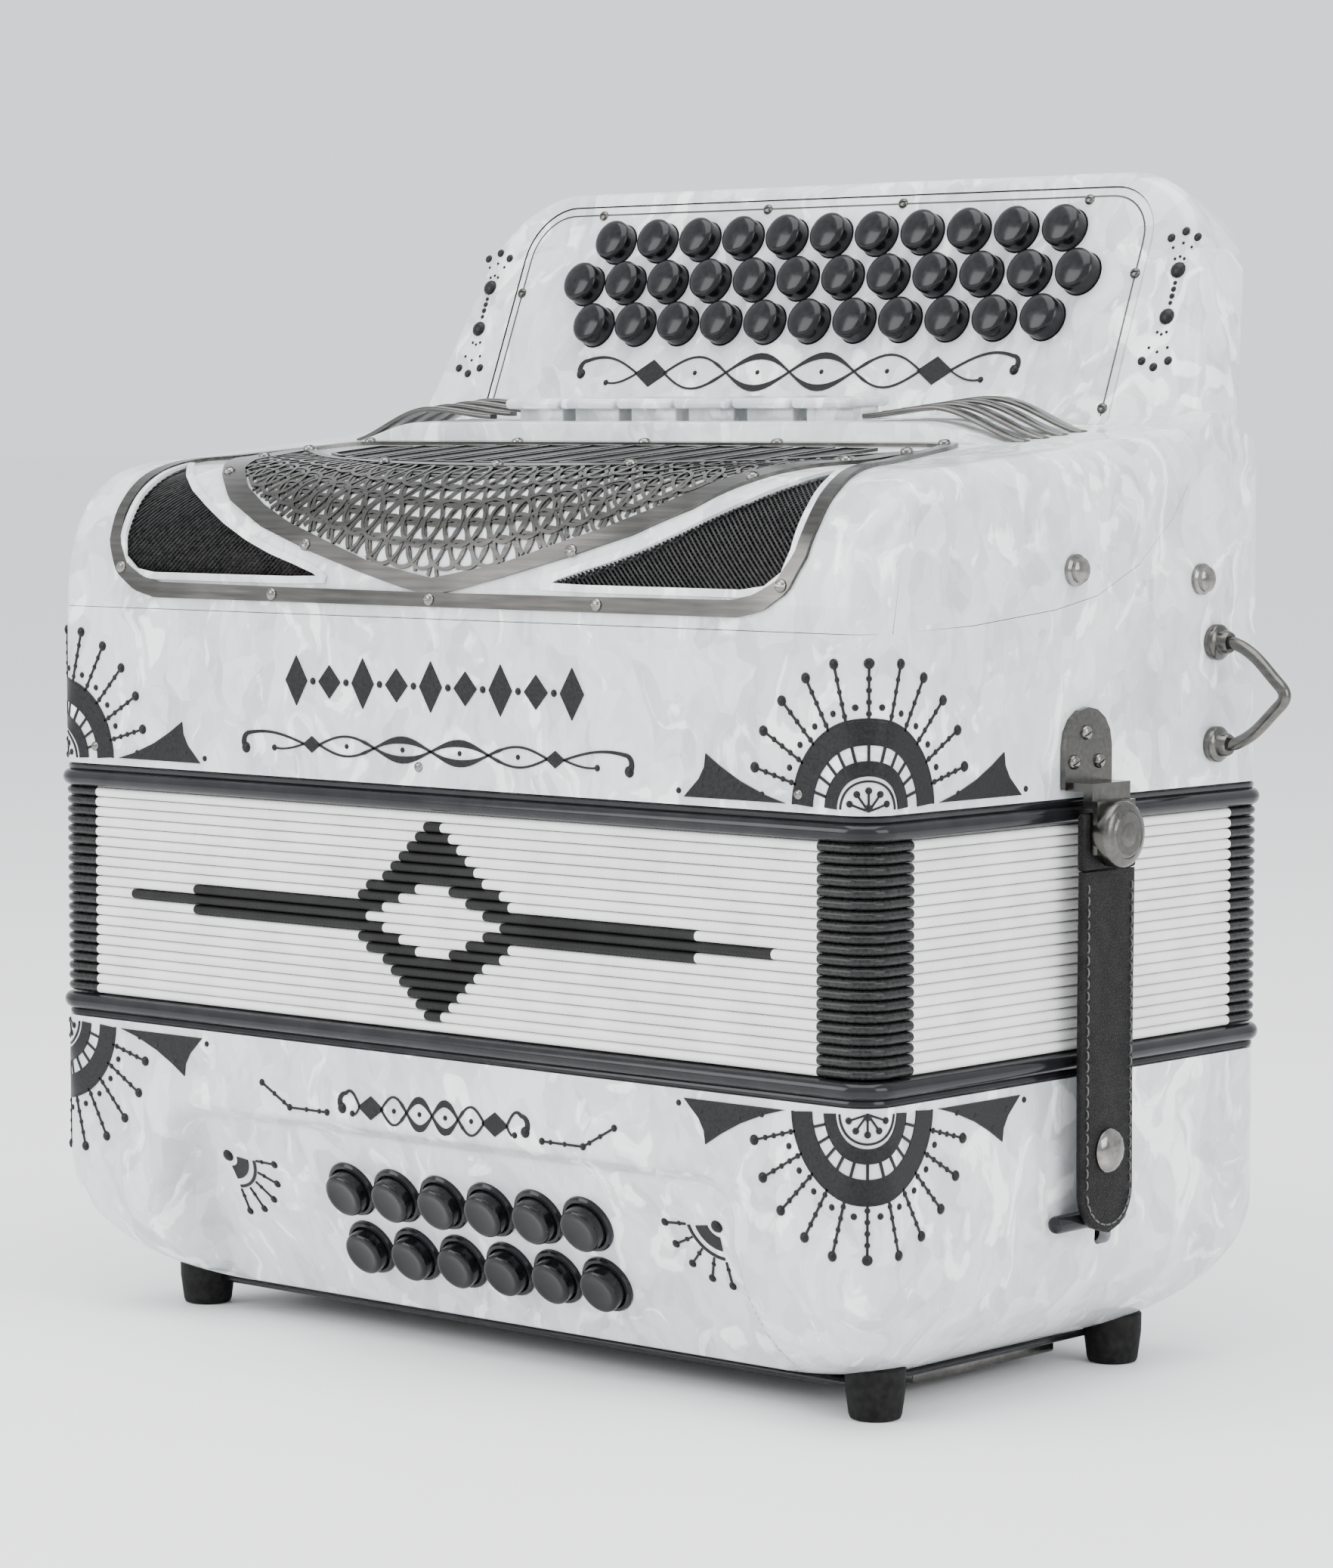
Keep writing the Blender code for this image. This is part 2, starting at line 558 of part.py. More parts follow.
def build_air_lever():
    """Thumb lever of the air valve: round bar on an arm that enters the casing."""
    bar = round_bar((168.3, -15.0, 53.0), (168.3, 17.0, 53.0),
                    [(0, 2.0), (0.06, 2.6), (0.94, 2.6), (1, 2.0)], 16)
    arm = prism([(10.5, 50.5), (15.5, 50.5), (15.5, 55.5), (10.5, 55.5)], "x", 150.0, 168.3)
    make_object("air_lever", combine(bar, ("UNION", arm)), "black_plastic", AIR_PIVOT)


def build_hand_strap():
    """Padded leather band along the bass end, fixed at both ends under the end plate."""
    top = [(-128.0, 7.2), (-116.0, 7.2), (-104.0, 4.6), (104.0, 4.6), (116.0, 7.2), (128.0, 7.2)]
    low = [(128.0, 4.2), (117.0, 4.2), (105.0, 1.6), (-105.0, 1.6), (-117.0, 4.2), (-128.0, 4.2)]
    make_object("hand_strap", prism(top + low, "y", -25.0, 38.0), "leather")


def main():
    clear_scene()
    build_bass_end_plate()
    build_bass_casing()
    build_bellows_frame("bass_bellows_frame", BASS_Z[1], flip=False)
    build_bellows()
    build_bellows_frame("treble_bellows_frame", TREBLE_Z0 - FRAME_T, flip=True)
    build_treble_casing()
    build_treble_action()
    build_grille_cover()
    build_grille_fretwork()
    build_fingerboard()
    build_registers()
    build_bass_buttons()
    build_hand_strap()
    build_air_lever()
    for side, label in ((1, "right"), (-1, "left")):
        build_strap_hanger(side, f"strap_hanger_{label}")
        build_bellows_strap(side, f"bellows_strap_{label}")
        build_shoulder_bail(side, f"shoulder_bail_{label}")
    build_treble_buttons()


main()
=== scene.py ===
"""Looks of a three-row button accordion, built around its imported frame.

Sizes are in drawing millimetres: x along the instrument, y = 0 in the middle of the bellows with the
decorated front toward -y, and z up from the floor. Workshop.publish turns them into metres in the frame's
own axes.
"""

import logging
import math
from dataclasses import dataclass, field
from enum import Enum
from typing import Callable, Iterable, Sequence

import bmesh
import bpy
from mathutils import Matrix, Vector


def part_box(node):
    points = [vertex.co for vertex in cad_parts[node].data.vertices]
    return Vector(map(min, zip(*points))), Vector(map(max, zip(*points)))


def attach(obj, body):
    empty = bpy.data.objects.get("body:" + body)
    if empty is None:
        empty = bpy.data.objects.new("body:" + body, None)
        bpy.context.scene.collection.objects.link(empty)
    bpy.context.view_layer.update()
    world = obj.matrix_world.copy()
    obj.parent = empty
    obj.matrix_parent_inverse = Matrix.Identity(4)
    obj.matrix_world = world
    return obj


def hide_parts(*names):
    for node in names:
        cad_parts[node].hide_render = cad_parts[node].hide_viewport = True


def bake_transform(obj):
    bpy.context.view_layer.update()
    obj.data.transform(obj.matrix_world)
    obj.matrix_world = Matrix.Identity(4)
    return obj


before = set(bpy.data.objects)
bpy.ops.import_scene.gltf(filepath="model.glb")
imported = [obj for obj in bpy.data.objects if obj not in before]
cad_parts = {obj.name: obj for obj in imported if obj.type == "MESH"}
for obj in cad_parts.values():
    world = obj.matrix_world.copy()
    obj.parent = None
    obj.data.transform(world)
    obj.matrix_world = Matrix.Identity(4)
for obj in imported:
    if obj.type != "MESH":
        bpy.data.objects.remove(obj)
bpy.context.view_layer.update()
LOG = logging.getLogger("accordion")

MM = 0.001
HALF_W, HALF_D, CORNER_R = 165.0, 93.5, 10.0
Point = Sequence[float]
Ring = list[Vector]


# ------------------------------------------------------------------------------------ plain geometry
def arc(cx: float, cy: float, r: float, a0: float, a1: float, n: int) -> list[tuple[float, float]]:
    """Points on an arc from angle a0 to a1 in degrees, both ends included."""
    steps = [math.radians(a0 + (a1 - a0) * i / n) for i in range(n + 1)]
    return [(cx + r * math.cos(a), cy + r * math.sin(a)) for a in steps]


def rounded_rect(hx: float, hy: float, r: float, n: int = 8) -> list[tuple[float, float]]:
    """Rounded rectangle about the middle, counter-clockwise, n steps in each corner.

    Args:
        hx: Half length.
        hy: Half width.
        r: Corner radius.
        n: Steps in each corner.

    Returns:
        The corner points in order.
    """
    pts: list[tuple[float, float]] = []
    for sx, sy, a in ((1, 1, 0), (-1, 1, 90), (-1, -1, 180), (1, -1, 270)):
        pts += arc(sx * (hx - r), sy * (hy - r), r, a, a + 90, n)
    return pts


def smooth_line(points: Sequence[Point], per: int = 6) -> list[Vector]:
    """Catmull-Rom curve through points.

    Args:
        points: Points that the curve passes through.
        per: Steps between each two of them.

    Returns:
        The curve's points, first and last included.
    """
    pts = [Vector(p) for p in points]
    ends = [pts[0] * 2 - pts[1]] + pts + [pts[-1] * 2 - pts[-2]]
    out: list[Vector] = []
    for a, b, c, d in zip(ends, ends[1:], ends[2:], ends[3:]):
        for i in range(per):
            t = i / per
            out.append(0.5 * (2 * b + (c - a) * t + (2 * a - 5 * b + 4 * c - d) * t ** 2
                              + (3 * b - a - 3 * c + d) * t ** 3))
    return out + [pts[-1]]


def smoothstep(t: float) -> float:
    """Soft step from 0 to 1."""
    t = min(1.0, max(0.0, t))
    return t * t * (3 - 2 * t)


def loft(rings: Sequence[Sequence[Point]], closed: bool = False, bm: bmesh.types.BMesh | None = None,
         ) -> bmesh.types.BMesh:
    """Skin through rings of equally many points.

    Args:
        rings: Rings of 3-D points, each running the same way round.
        closed: Whether the last ring joins the first; otherwise both ends are capped.
        bm: Mesh to add to, or None for a new one.

    Returns:
        The mesh, with outward normals on what was added.
    """
    out = bm or bmesh.new()
    rows = [[out.verts.new(p) for p in ring] for ring in rings]
    made = []
    for low, high in zip(rows, rows[1:] + (rows[:1] if closed else [])):
        for i, v in enumerate(low):
            j = (i + 1) % len(low)
            made.append(out.faces.new((v, low[j], high[j], high[i])))
    if not closed:
        made.append(out.faces.new(rows[0][::-1]))
        made.append(out.faces.new(rows[-1]))
    bmesh.ops.recalc_face_normals(out, faces=made)
    return out


def prism(outline: Sequence[Point], axis: str, lo: float, hi: float) -> bmesh.types.BMesh:
    """Outline in the plane across an axis ('x': (y, z), 'y': (x, z), 'z': (x, y)), from lo to hi."""
    put: dict[str, Callable[[float, float, float], Point]] = {
        "x": lambda a, b, t: (t, a, b), "y": lambda a, b, t: (a, t, b), "z": lambda a, b, t: (a, b, t)}
    return loft([[put[axis](p[0], p[1], t) for p in outline] for t in (lo, hi)])


def turned(base: Point, axis: Point, profile: Sequence[Point], sides: int = 32,
           bm: bmesh.types.BMesh | None = None) -> bmesh.types.BMesh:
    """Turned piece; profile lists (radius, height along axis) from base, and a radius of 0 closes it.

    Args:
        base: Start of the axis.
        axis: Direction of the axis.
        profile: (radius, height along the axis) from base; a radius of 0 closes it.
        sides: Number of sides.
        bm: Mesh to add to, or None for a new one.

    Returns:
        The mesh.
    """
    out = bm or bmesh.new()
    turn = Vector(axis).to_track_quat("Z", "Y").to_matrix()
    root = Vector(base)
    rows = []
    for r, h in profile:
        if r == 0:
            rows.append([out.verts.new(root + turn @ Vector((0, 0, h)))])
        else:
            rows.append([out.verts.new(root + turn @ Vector((x, y, h)))
                         for x, y in arc(0, 0, r, 0, 360 * (1 - 1 / sides), sides - 1)])
    made = []
    for low, high in zip(rows, rows[1:]):
        for i in range(sides):
            j = (i + 1) % sides
            quad = [low[i % len(low)], low[j % len(low)], high[j % len(high)], high[i % len(high)]]
            made.append(out.faces.new(list(dict.fromkeys(quad))))
    for row in (rows[0], rows[-1]):
        if len(row) > 1:
            made.append(out.faces.new(row))
    bmesh.ops.recalc_face_normals(out, faces=made)
    return out


def tube(path: Sequence[Point], radius: float, sides: int = 12, up: Point = (0, 1, 0.01),
         bm: bmesh.types.BMesh | None = None) -> bmesh.types.BMesh:
    """Round bar through a list of points.

    Args:
        path: Points along the path.
        radius: Radius of the bar.
        sides: Number of sides.
        up: Direction that no part of the path runs in.
        bm: Mesh to add to, or None for a new one.

    Returns:
        The mesh.
    """
    pts = [Vector(p) for p in path]
    circle = arc(0, 0, 1, 0, 360 - 360 / sides, sides - 1)
    rings = []
    for i, p in enumerate(pts):
        ahead = (pts[min(i + 1, len(pts) - 1)] - pts[max(i - 1, 0)]).normalized()
        side = ahead.cross(Vector(up)).normalized()
        over = ahead.cross(side)
        rings.append([p + (side * c + over * s) * radius for c, s in circle])
    return loft(rings, bm=bm)


def soft_box(lo: Point, hi: Point, r: float, bm: bmesh.types.BMesh | None = None) -> bmesh.types.BMesh:
    """Box with rounded edges, from corner lo to corner hi.

    Args:
        lo: Lowest corner.
        hi: Highest corner.
        r: Radius of the edges.
        bm: Mesh to add to, or None for a new one.

    Returns:
        The mesh.
    """
    centre = (Vector(lo) + Vector(hi)) / 2
    half = (Vector(hi) - Vector(lo)) / 2
    levels = []
    for a in (0, 30, 60, 90):
        shrink = r * (1 - math.sin(math.radians(a)))
        levels.append((shrink, -half.z + r * (1 - math.cos(math.radians(a)))))
    levels += [(shrink, -z) for shrink, z in reversed(levels)]
    sections = []
    for shrink, z in levels:
        plan = rounded_rect(half.x - shrink, half.y - shrink, max(0.05, r - shrink * 0.5), 4)
        sections.append([centre + Vector((x, y, z)) for x, y in plan])
    return loft(sections, bm=bm)


def combine(bm: bmesh.types.BMesh, *steps: tuple[str, bmesh.types.BMesh]) -> bmesh.types.BMesh:
    """Result of exact Boolean steps, each ('UNION' | 'DIFFERENCE' | 'INTERSECT', mesh).

    Args:
        bm: Mesh to start from; it is used up.
        steps: Operation ('UNION', 'DIFFERENCE' or 'INTERSECT') and mesh of each step; used up.

    Returns:
        The mesh that results.
    """
    made = []
    for part in (bm, *[other for _, other in steps]):
        mesh = bpy.data.meshes.new("tool")
        part.to_mesh(mesh)
        part.free()
        made.append(bpy.data.objects.new("tool", mesh))
        bpy.context.scene.collection.objects.link(made[-1])
    for (kind, _), tool in zip(steps, made[1:]):
        step = made[0].modifiers.new(kind, "BOOLEAN")
        step.operation, step.solver, step.object = kind, "EXACT", tool
    out = bmesh.new()
    out.from_mesh(evaluated_mesh(made[0]))
    for tool in made:
        bpy.data.objects.remove(tool, do_unlink=True)
    bmesh.ops.remove_doubles(out, verts=out.verts, dist=0.002)
    return out


def evaluated_mesh(obj: bpy.types.Object) -> bpy.types.Mesh:
    """Plain mesh of an object with its modifiers applied."""
    bpy.context.view_layer.update()
    return bpy.data.meshes.new_from_object(obj.evaluated_get(bpy.context.evaluated_depsgraph_get()))


# ------------------------------------------------------------------------------------------- finishes
class Value:
    """A number socket in a shader tree that can be used in Python arithmetic."""

    def __init__(self, shader: "Shader", socket: bpy.types.NodeSocket) -> None:
        """Wraps a socket of a shader."""
        self.shader, self.socket = shader, socket

    def _math(self, operation: str, a: "Value | float", b: "Value | float" = 0.0) -> "Value":
        """Adds a Math node."""
        node = self.shader.node("ShaderNodeMath", {"operation": operation}, {0: a, 1: b})
        return Value(self.shader, node.outputs[0])

    def __add__(self, other: "Value | float") -> "Value":
        """Sum."""
        return self._math("ADD", self, other)

    def __sub__(self, other: "Value | float") -> "Value":
        """Difference."""
        return self._math("SUBTRACT", self, other)

    def __rsub__(self, other: float) -> "Value":
        """Number minus value."""
        return self._math("SUBTRACT", other, self)

    def __mul__(self, other: "Value | float") -> "Value":
        """Product."""
        return self._math("MULTIPLY", self, other)

    __radd__ = __add__
    __rmul__ = __mul__

    def power(self, other: float) -> "Value":
        """Value raised to a power."""
        return self._math("POWER", self, other)

    def step(self, low: float, high: float) -> "Value":
        """Value stretched so that low..high becomes 0..1, and clamped."""
        node = self.shader.node("ShaderNodeMapRange", {"clamp": True}, {0: self, 1: low, 2: high})
        return Value(self.shader, node.outputs[0])


class Shader:
    """A material with one Principled BSDF, built node by node."""

    def __init__(self, name: str, **plain: float | tuple) -> None:
        """Starts a material; plain sets sockets of the BSDF that don't vary.

        Args:
            name: Name of the material.
            plain: Sockets of the BSDF that don't vary, with _ for each space.
        """
        self.material = bpy.data.materials.new(name)
        self.material.use_nodes = True
        self.tree = self.material.node_tree
        self.surface = self.tree.nodes["Principled BSDF"]
        for key, value in plain.items():
            self.surface.inputs[key.replace("_", " ")].default_value = value
        self.place = self.node("ShaderNodeTexCoord", {}, {}).outputs["Object"]

    def node(self, kind: str, settings: dict, inputs: dict) -> bpy.types.Node:
        """Adds a node.

        Args:
            kind: Node type.
            settings: Properties, set first; "stops" fills a ramp with (position, colour).
            inputs: Values or links, by socket name or number.

        Returns:
            The node.
        """
        made = self.tree.nodes.new(kind)
        for key, value in settings.items():
            if key == "stops":
                ramp = made.color_ramp
                while len(ramp.elements) < len(value):
                    ramp.elements.new(0.5)
                for element, (position, colour) in zip(ramp.elements, value):
                    element.position, element.color = position, (*colour, 1.0)
            else:
                setattr(made, key, value)
        for key, value in inputs.items():
            source = value.socket if isinstance(value, Value) else value
            if isinstance(source, bpy.types.NodeSocket):
                self.tree.links.new(source, made.inputs[key])
            else:
                made.inputs[key].default_value = source
        return made

    def noise(self, scale: float, detail: float = 3.0, distortion: float = 0.0,
              vector: bpy.types.NodeSocket | None = None) -> Value:
        """Noise on object coordinates, scale in features per metre."""
        made = self.node("ShaderNodeTexNoise", {}, {"Vector": vector or self.place, "Scale": scale,
                                                    "Detail": detail, "Distortion": distortion})
        return Value(self, made.outputs[0])

    def stretched(self, scale: Point, turn: Point = (0, 0, 0)) -> bpy.types.NodeSocket:
        """Object coordinates, turned and stretched."""
        made = self.node("ShaderNodeMapping", {}, {"Vector": self.place, "Scale": tuple(scale),
                                                   "Rotation": tuple(turn)})
        return made.outputs[0]

    def ramp(self, value: Value, *stops: tuple[float, Point]) -> bpy.types.NodeSocket:
        """Colour ramp over a value."""
        return self.node("ShaderNodeValToRGB", {"stops": stops}, {0: value}).outputs[0]

    def feed(self, socket: str, source: "Value | bpy.types.NodeSocket") -> None:
        """Links a value or colour to a socket of the BSDF."""
        link = source.socket if isinstance(source, Value) else source
        self.tree.links.new(link, self.surface.inputs[socket])

    def bump(self, height: Value, strength: float, distance: float) -> None:
        """Adds a bump of the given distance in metres."""
        made = self.node("ShaderNodeBump", {}, {"Height": height, "Strength": strength, "Distance": distance})
        self.tree.links.new(made.outputs[0], self.surface.inputs["Normal"])


class Finish(Enum):
    """Named finishes of the instrument: the slot name that each belongs to, and its use."""

    PEARL = ("pearl", "casings and tabs")
    LACQUER = ("black_gloss", "mouldings")
    BUTTON = ("black_gloss", "button caps")
    NICKEL = ("nickel", "sheet and bars")
    BRIGHT = ("nickel", "screws and studs")
    LEATHER = ("leather", "straps")
    THREAD = ("leather", "stitches")
    RUBBER = ("rubber", "feet")
    INLAY = ("black_gloss", "ornaments")
    TAPE = ("bellows_card", "folds")
    TAPE_BLACK = ("bellows_card", "pattern of the folds")
    CORNER = ("black_gloss", "corners of the folds")
    MESH = ("nickel", "sound windows")
    WOOD = ("wood", "inner action")

    @property
    def slot(self) -> str:
        """Name of the material slot that the finish belongs to."""
        return self.value[0]


@dataclass(frozen=True)
class FinishShop:
    """Makes each finish once."""

    made: dict[Finish, bpy.types.Material] = field(default_factory=dict)

    def get(self, finish: Finish) -> bpy.types.Material:
        """Material of a finish, built on first use."""
        if finish not in self.made:
            self.made[finish] = getattr(self, finish.name.lower())()
        return self.made[finish]

    def pearl(self) -> bpy.types.Material:
        """White mother-of-pearl celluloid: overlapping flakes, pale wisps and a clear coat.

        Returns:
            The material.
        """
        s = Shader("white_pearl", Coat_Weight=0.6, Coat_Roughness=0.04)
        drift = s.node("ShaderNodeTexNoise", {}, {"Vector": s.place, "Scale": 38.0, "Detail": 2.0})
        shifted = s.node("ShaderNodeVectorMath", {"operation": "MULTIPLY_ADD"},
                         {0: drift.outputs["Color"], 1: (0.022, 0.022, 0.022), 2: s.place}).outputs[0]
        squeeze = s.node("ShaderNodeMapping", {}, {"Vector": shifted, "Scale": (1.0, 1.0, 0.55),
                                                   "Rotation": (0.5, 0.7, 0.3)}).outputs[0]
        flake = s.node("ShaderNodeTexVoronoi", {}, {"Vector": squeeze, "Scale": 105.0})
        chip = s.node("ShaderNodeTexVoronoi", {}, {"Vector": squeeze, "Scale": 260.0})
        big = s.node("ShaderNodeSeparateColor", {}, {0: flake.outputs["Color"]})
        small = s.node("ShaderNodeSeparateColor", {}, {0: chip.outputs["Color"]})
        shade = Value(s, big.outputs[0]) * 0.42 + Value(s, small.outputs[1]) * 0.24 + s.noise(60, 4) * 0.34
        wisp = s.noise(48, 5, 2.2, squeeze).step(0.575, 0.635)
        glow = shade * 0.78 + wisp * 0.50
        s.feed("Base Color", s.ramp(glow, (0.14, (0.47, 0.50, 0.51)), (0.38, (0.62, 0.65, 0.655)),
                                    (0.62, (0.75, 0.77, 0.775)), (0.92, (0.97, 0.98, 0.975))))
        s.feed("Roughness", 0.34 - shade * 0.16)
        s.bump(shade + wisp * 0.4, 0.10, 0.0004)
        return s.material

    def lacquer(self) -> bpy.types.Material:
        """Black moulding with a deep gloss and faint polishing waves.

        Returns:
            The material.
        """
        s = Shader("black_lacquer", Specular_IOR_Level=0.22, Coat_Weight=0.08, Coat_Roughness=0.03)
        cloud = s.noise(90, 4)
        s.feed("Base Color", s.ramp(cloud, (0.3, (0.006, 0.006, 0.007)), (0.8, (0.016, 0.016, 0.018))))
        s.feed("Roughness", cloud * 0.12 + 0.10)
        s.bump(s.noise(240, 2), 0.05, 0.0003)
        return s.material

    def button(self) -> bpy.types.Material:
        """Black button plastic, glossy with fine handling haze.

        Returns:
            The material.
        """
        s = Shader("button_black", Specular_IOR_Level=0.24, Coat_Weight=0.06, Coat_Roughness=0.05)
        haze = s.noise(500, 5)
        s.feed("Base Color", s.ramp(haze, (0.35, (0.004, 0.004, 0.005)), (0.8, (0.012, 0.012, 0.013))))
        s.feed("Roughness", haze * 0.20 + 0.09)
        s.bump(s.noise(900, 2), 0.04, 0.0002)
        return s.material

    def nickel(self) -> bpy.types.Material:
        """Dark nickel sheet, brushed along the instrument.

        Returns:
            The material.
        """
        s = Shader("dark_nickel", Metallic=1.0)
        grain = s.noise(700, 3, 0.0, s.stretched((0.06, 1.0, 1.0)))
        cloud = s.noise(26, 3)
        s.feed("Base Color", s.ramp(cloud * 0.6 + grain * 0.4, (0.25, (0.050, 0.049, 0.046)),
                                    (0.55, (0.115, 0.112, 0.105)), (0.85, (0.24, 0.23, 0.215))))
        s.feed("Roughness", grain * 0.16 + 0.16)
        s.bump(grain, 0.06, 0.0002)
        return s.material

    def bright(self) -> bpy.types.Material:
        """Polished screws, studs and knobs.

        Returns:
            The material.
        """
        s = Shader("polished_nickel", Metallic=1.0)
        haze = s.noise(320, 4)
        s.feed("Base Color", s.ramp(haze, (0.3, (0.13, 0.125, 0.12)), (0.8, (0.32, 0.31, 0.29))))
        s.feed("Roughness", haze * 0.16 + 0.10)
        return s.material

    def leather(self) -> bpy.types.Material:
        """Black leather with pebbled grain and paler worn ridges.

        Returns:
            The material.
        """
        s = Shader("black_leather", Specular_IOR_Level=0.14)
        cells = s.node("ShaderNodeTexVoronoi", {"feature": "DISTANCE_TO_EDGE"},
                       {"Vector": s.place, "Scale": 1100.0})
        pebble = Value(s, cells.outputs["Distance"]).step(0.0, 0.35)
        crease = s.noise(180, 6)
        s.feed("Base Color", s.ramp(crease * 0.7 + pebble * 0.3, (0.3, (0.004, 0.004, 0.004)),
                                    (0.85, (0.018, 0.017, 0.017))))
        s.feed("Roughness", 0.62 - pebble * 0.16)
        s.bump(pebble * 0.7 + crease * 0.5, 0.35, 0.0004)
        return s.material

    def thread(self) -> bpy.types.Material:
        """Waxed black sewing thread, twisted.

        Returns:
            The material.
        """
        s = Shader("sewing_thread", Roughness=0.55)
        twist = s.noise(2600, 2)
        s.feed("Base Color", s.ramp(twist, (0.3, (0.05, 0.05, 0.05)), (0.8, (0.14, 0.135, 0.13))))
        s.bump(twist, 0.3, 0.0002)
        return s.material

    def rubber(self) -> bpy.types.Material:
        """Matte black rubber with a dusty bloom.

        Returns:
            The material.
        """
        s = Shader("black_rubber", Specular_IOR_Level=0.12)
        dust = s.noise(420, 6)
        s.feed("Base Color", s.ramp(dust, (0.35, (0.005, 0.005, 0.005)), (0.85, (0.020, 0.020, 0.019))))
        s.feed("Roughness", dust * 0.25 + 0.55)
        s.bump(s.noise(1600, 3), 0.25, 0.0002)
        return s.material

    def inlay(self) -> bpy.types.Material:
        """Black enamel of the ornaments, slightly pitted.

        Returns:
            The material.
        """
        s = Shader("black_enamel", Specular_IOR_Level=0.2)
        pit = s.noise(1300, 4)
        s.feed("Base Color", s.ramp(pit, (0.3, (0.003, 0.003, 0.003)), (0.85, (0.016, 0.016, 0.017))))
        s.feed("Roughness", pit * 0.35 + 0.20)
        s.bump(pit, 0.2, 0.0002)
        return s.material

    def _cloth(self, name: str, low: Point, high: Point, rough: float) -> bpy.types.Material:
        """Woven bellows tape in a colour range.

        Args:
            name: Name of the material.
            low: Darkest colour.
            high: Palest colour.
            rough: Lowest roughness.

        Returns:
            The material.
        """
        s = Shader(name, Specular_IOR_Level=0.2)
        weave = s.node("ShaderNodeTexWave", {"wave_type": "BANDS", "bands_direction": "DIAGONAL"},
                       {"Vector": s.place, "Scale": 420.0, "Distortion": 1.5, "Detail": 2.0})
        thread = Value(s, weave.outputs[1])
        soil = s.noise(70, 5)
        s.feed("Base Color", s.ramp(soil * 0.75 + thread * 0.25, (0.25, low), (0.75, high)))
        s.feed("Roughness", thread * 0.12 + rough)
        s.bump(thread * 0.6 + s.noise(1500, 3) * 0.4, 0.25, 0.0003)
        return s.material

    def tape(self) -> bpy.types.Material:
        """White cloth tape on the edges of the folds."""
        return self._cloth("white_tape", (0.70, 0.70, 0.685), (0.90, 0.90, 0.885), 0.50)

    def tape_black(self) -> bpy.types.Material:
        """Black cloth tape of the bellows pattern."""
        return self._cloth("black_tape", (0.003, 0.003, 0.003), (0.014, 0.014, 0.014), 0.5)

    def corner(self) -> bpy.types.Material:
        """Glossy black leathercloth on the corners of the folds.

        Returns:
            The material.
        """
        s = Shader("black_leathercloth", Specular_IOR_Level=0.2, Coat_Weight=0.06, Coat_Roughness=0.12)
        grain = s.noise(900, 4)
        s.feed("Base Color", s.ramp(grain, (0.3, (0.006, 0.006, 0.006)), (0.85, (0.028, 0.028, 0.028))))
        s.feed("Roughness", grain * 0.25 + 0.16)
        s.bump(grain, 0.2, 0.0002)
        return s.material

    def mesh(self) -> bpy.types.Material:
        """Black woven wire in the sound windows.

        Returns:
            The material.
        """
        s = Shader("black_wire", Specular_IOR_Level=0.15)
        wear = s.noise(600, 3)
        s.feed("Base Color", s.ramp(wear, (0.3, (0.008, 0.008, 0.008)), (0.8, (0.045, 0.045, 0.045))))
        s.feed("Roughness", wear * 0.3 + 0.25)
        return s.material

    def wood(self) -> bpy.types.Material:
        """Dark stained wood of the inner action, grain along the bar.

        Returns:
            The material.
        """
        s = Shader("stained_wood")
        grain = s.noise(160, 5, 0.6, s.stretched((0.08, 1.0, 1.0)))
        s.feed("Base Color", s.ramp(grain, (0.3, (0.05, 0.036, 0.025)), (0.8, (0.16, 0.12, 0.085))))
        s.feed("Roughness", grain * 0.2 + 0.5)
        s.bump(grain, 0.2, 0.0003)
        return s.material


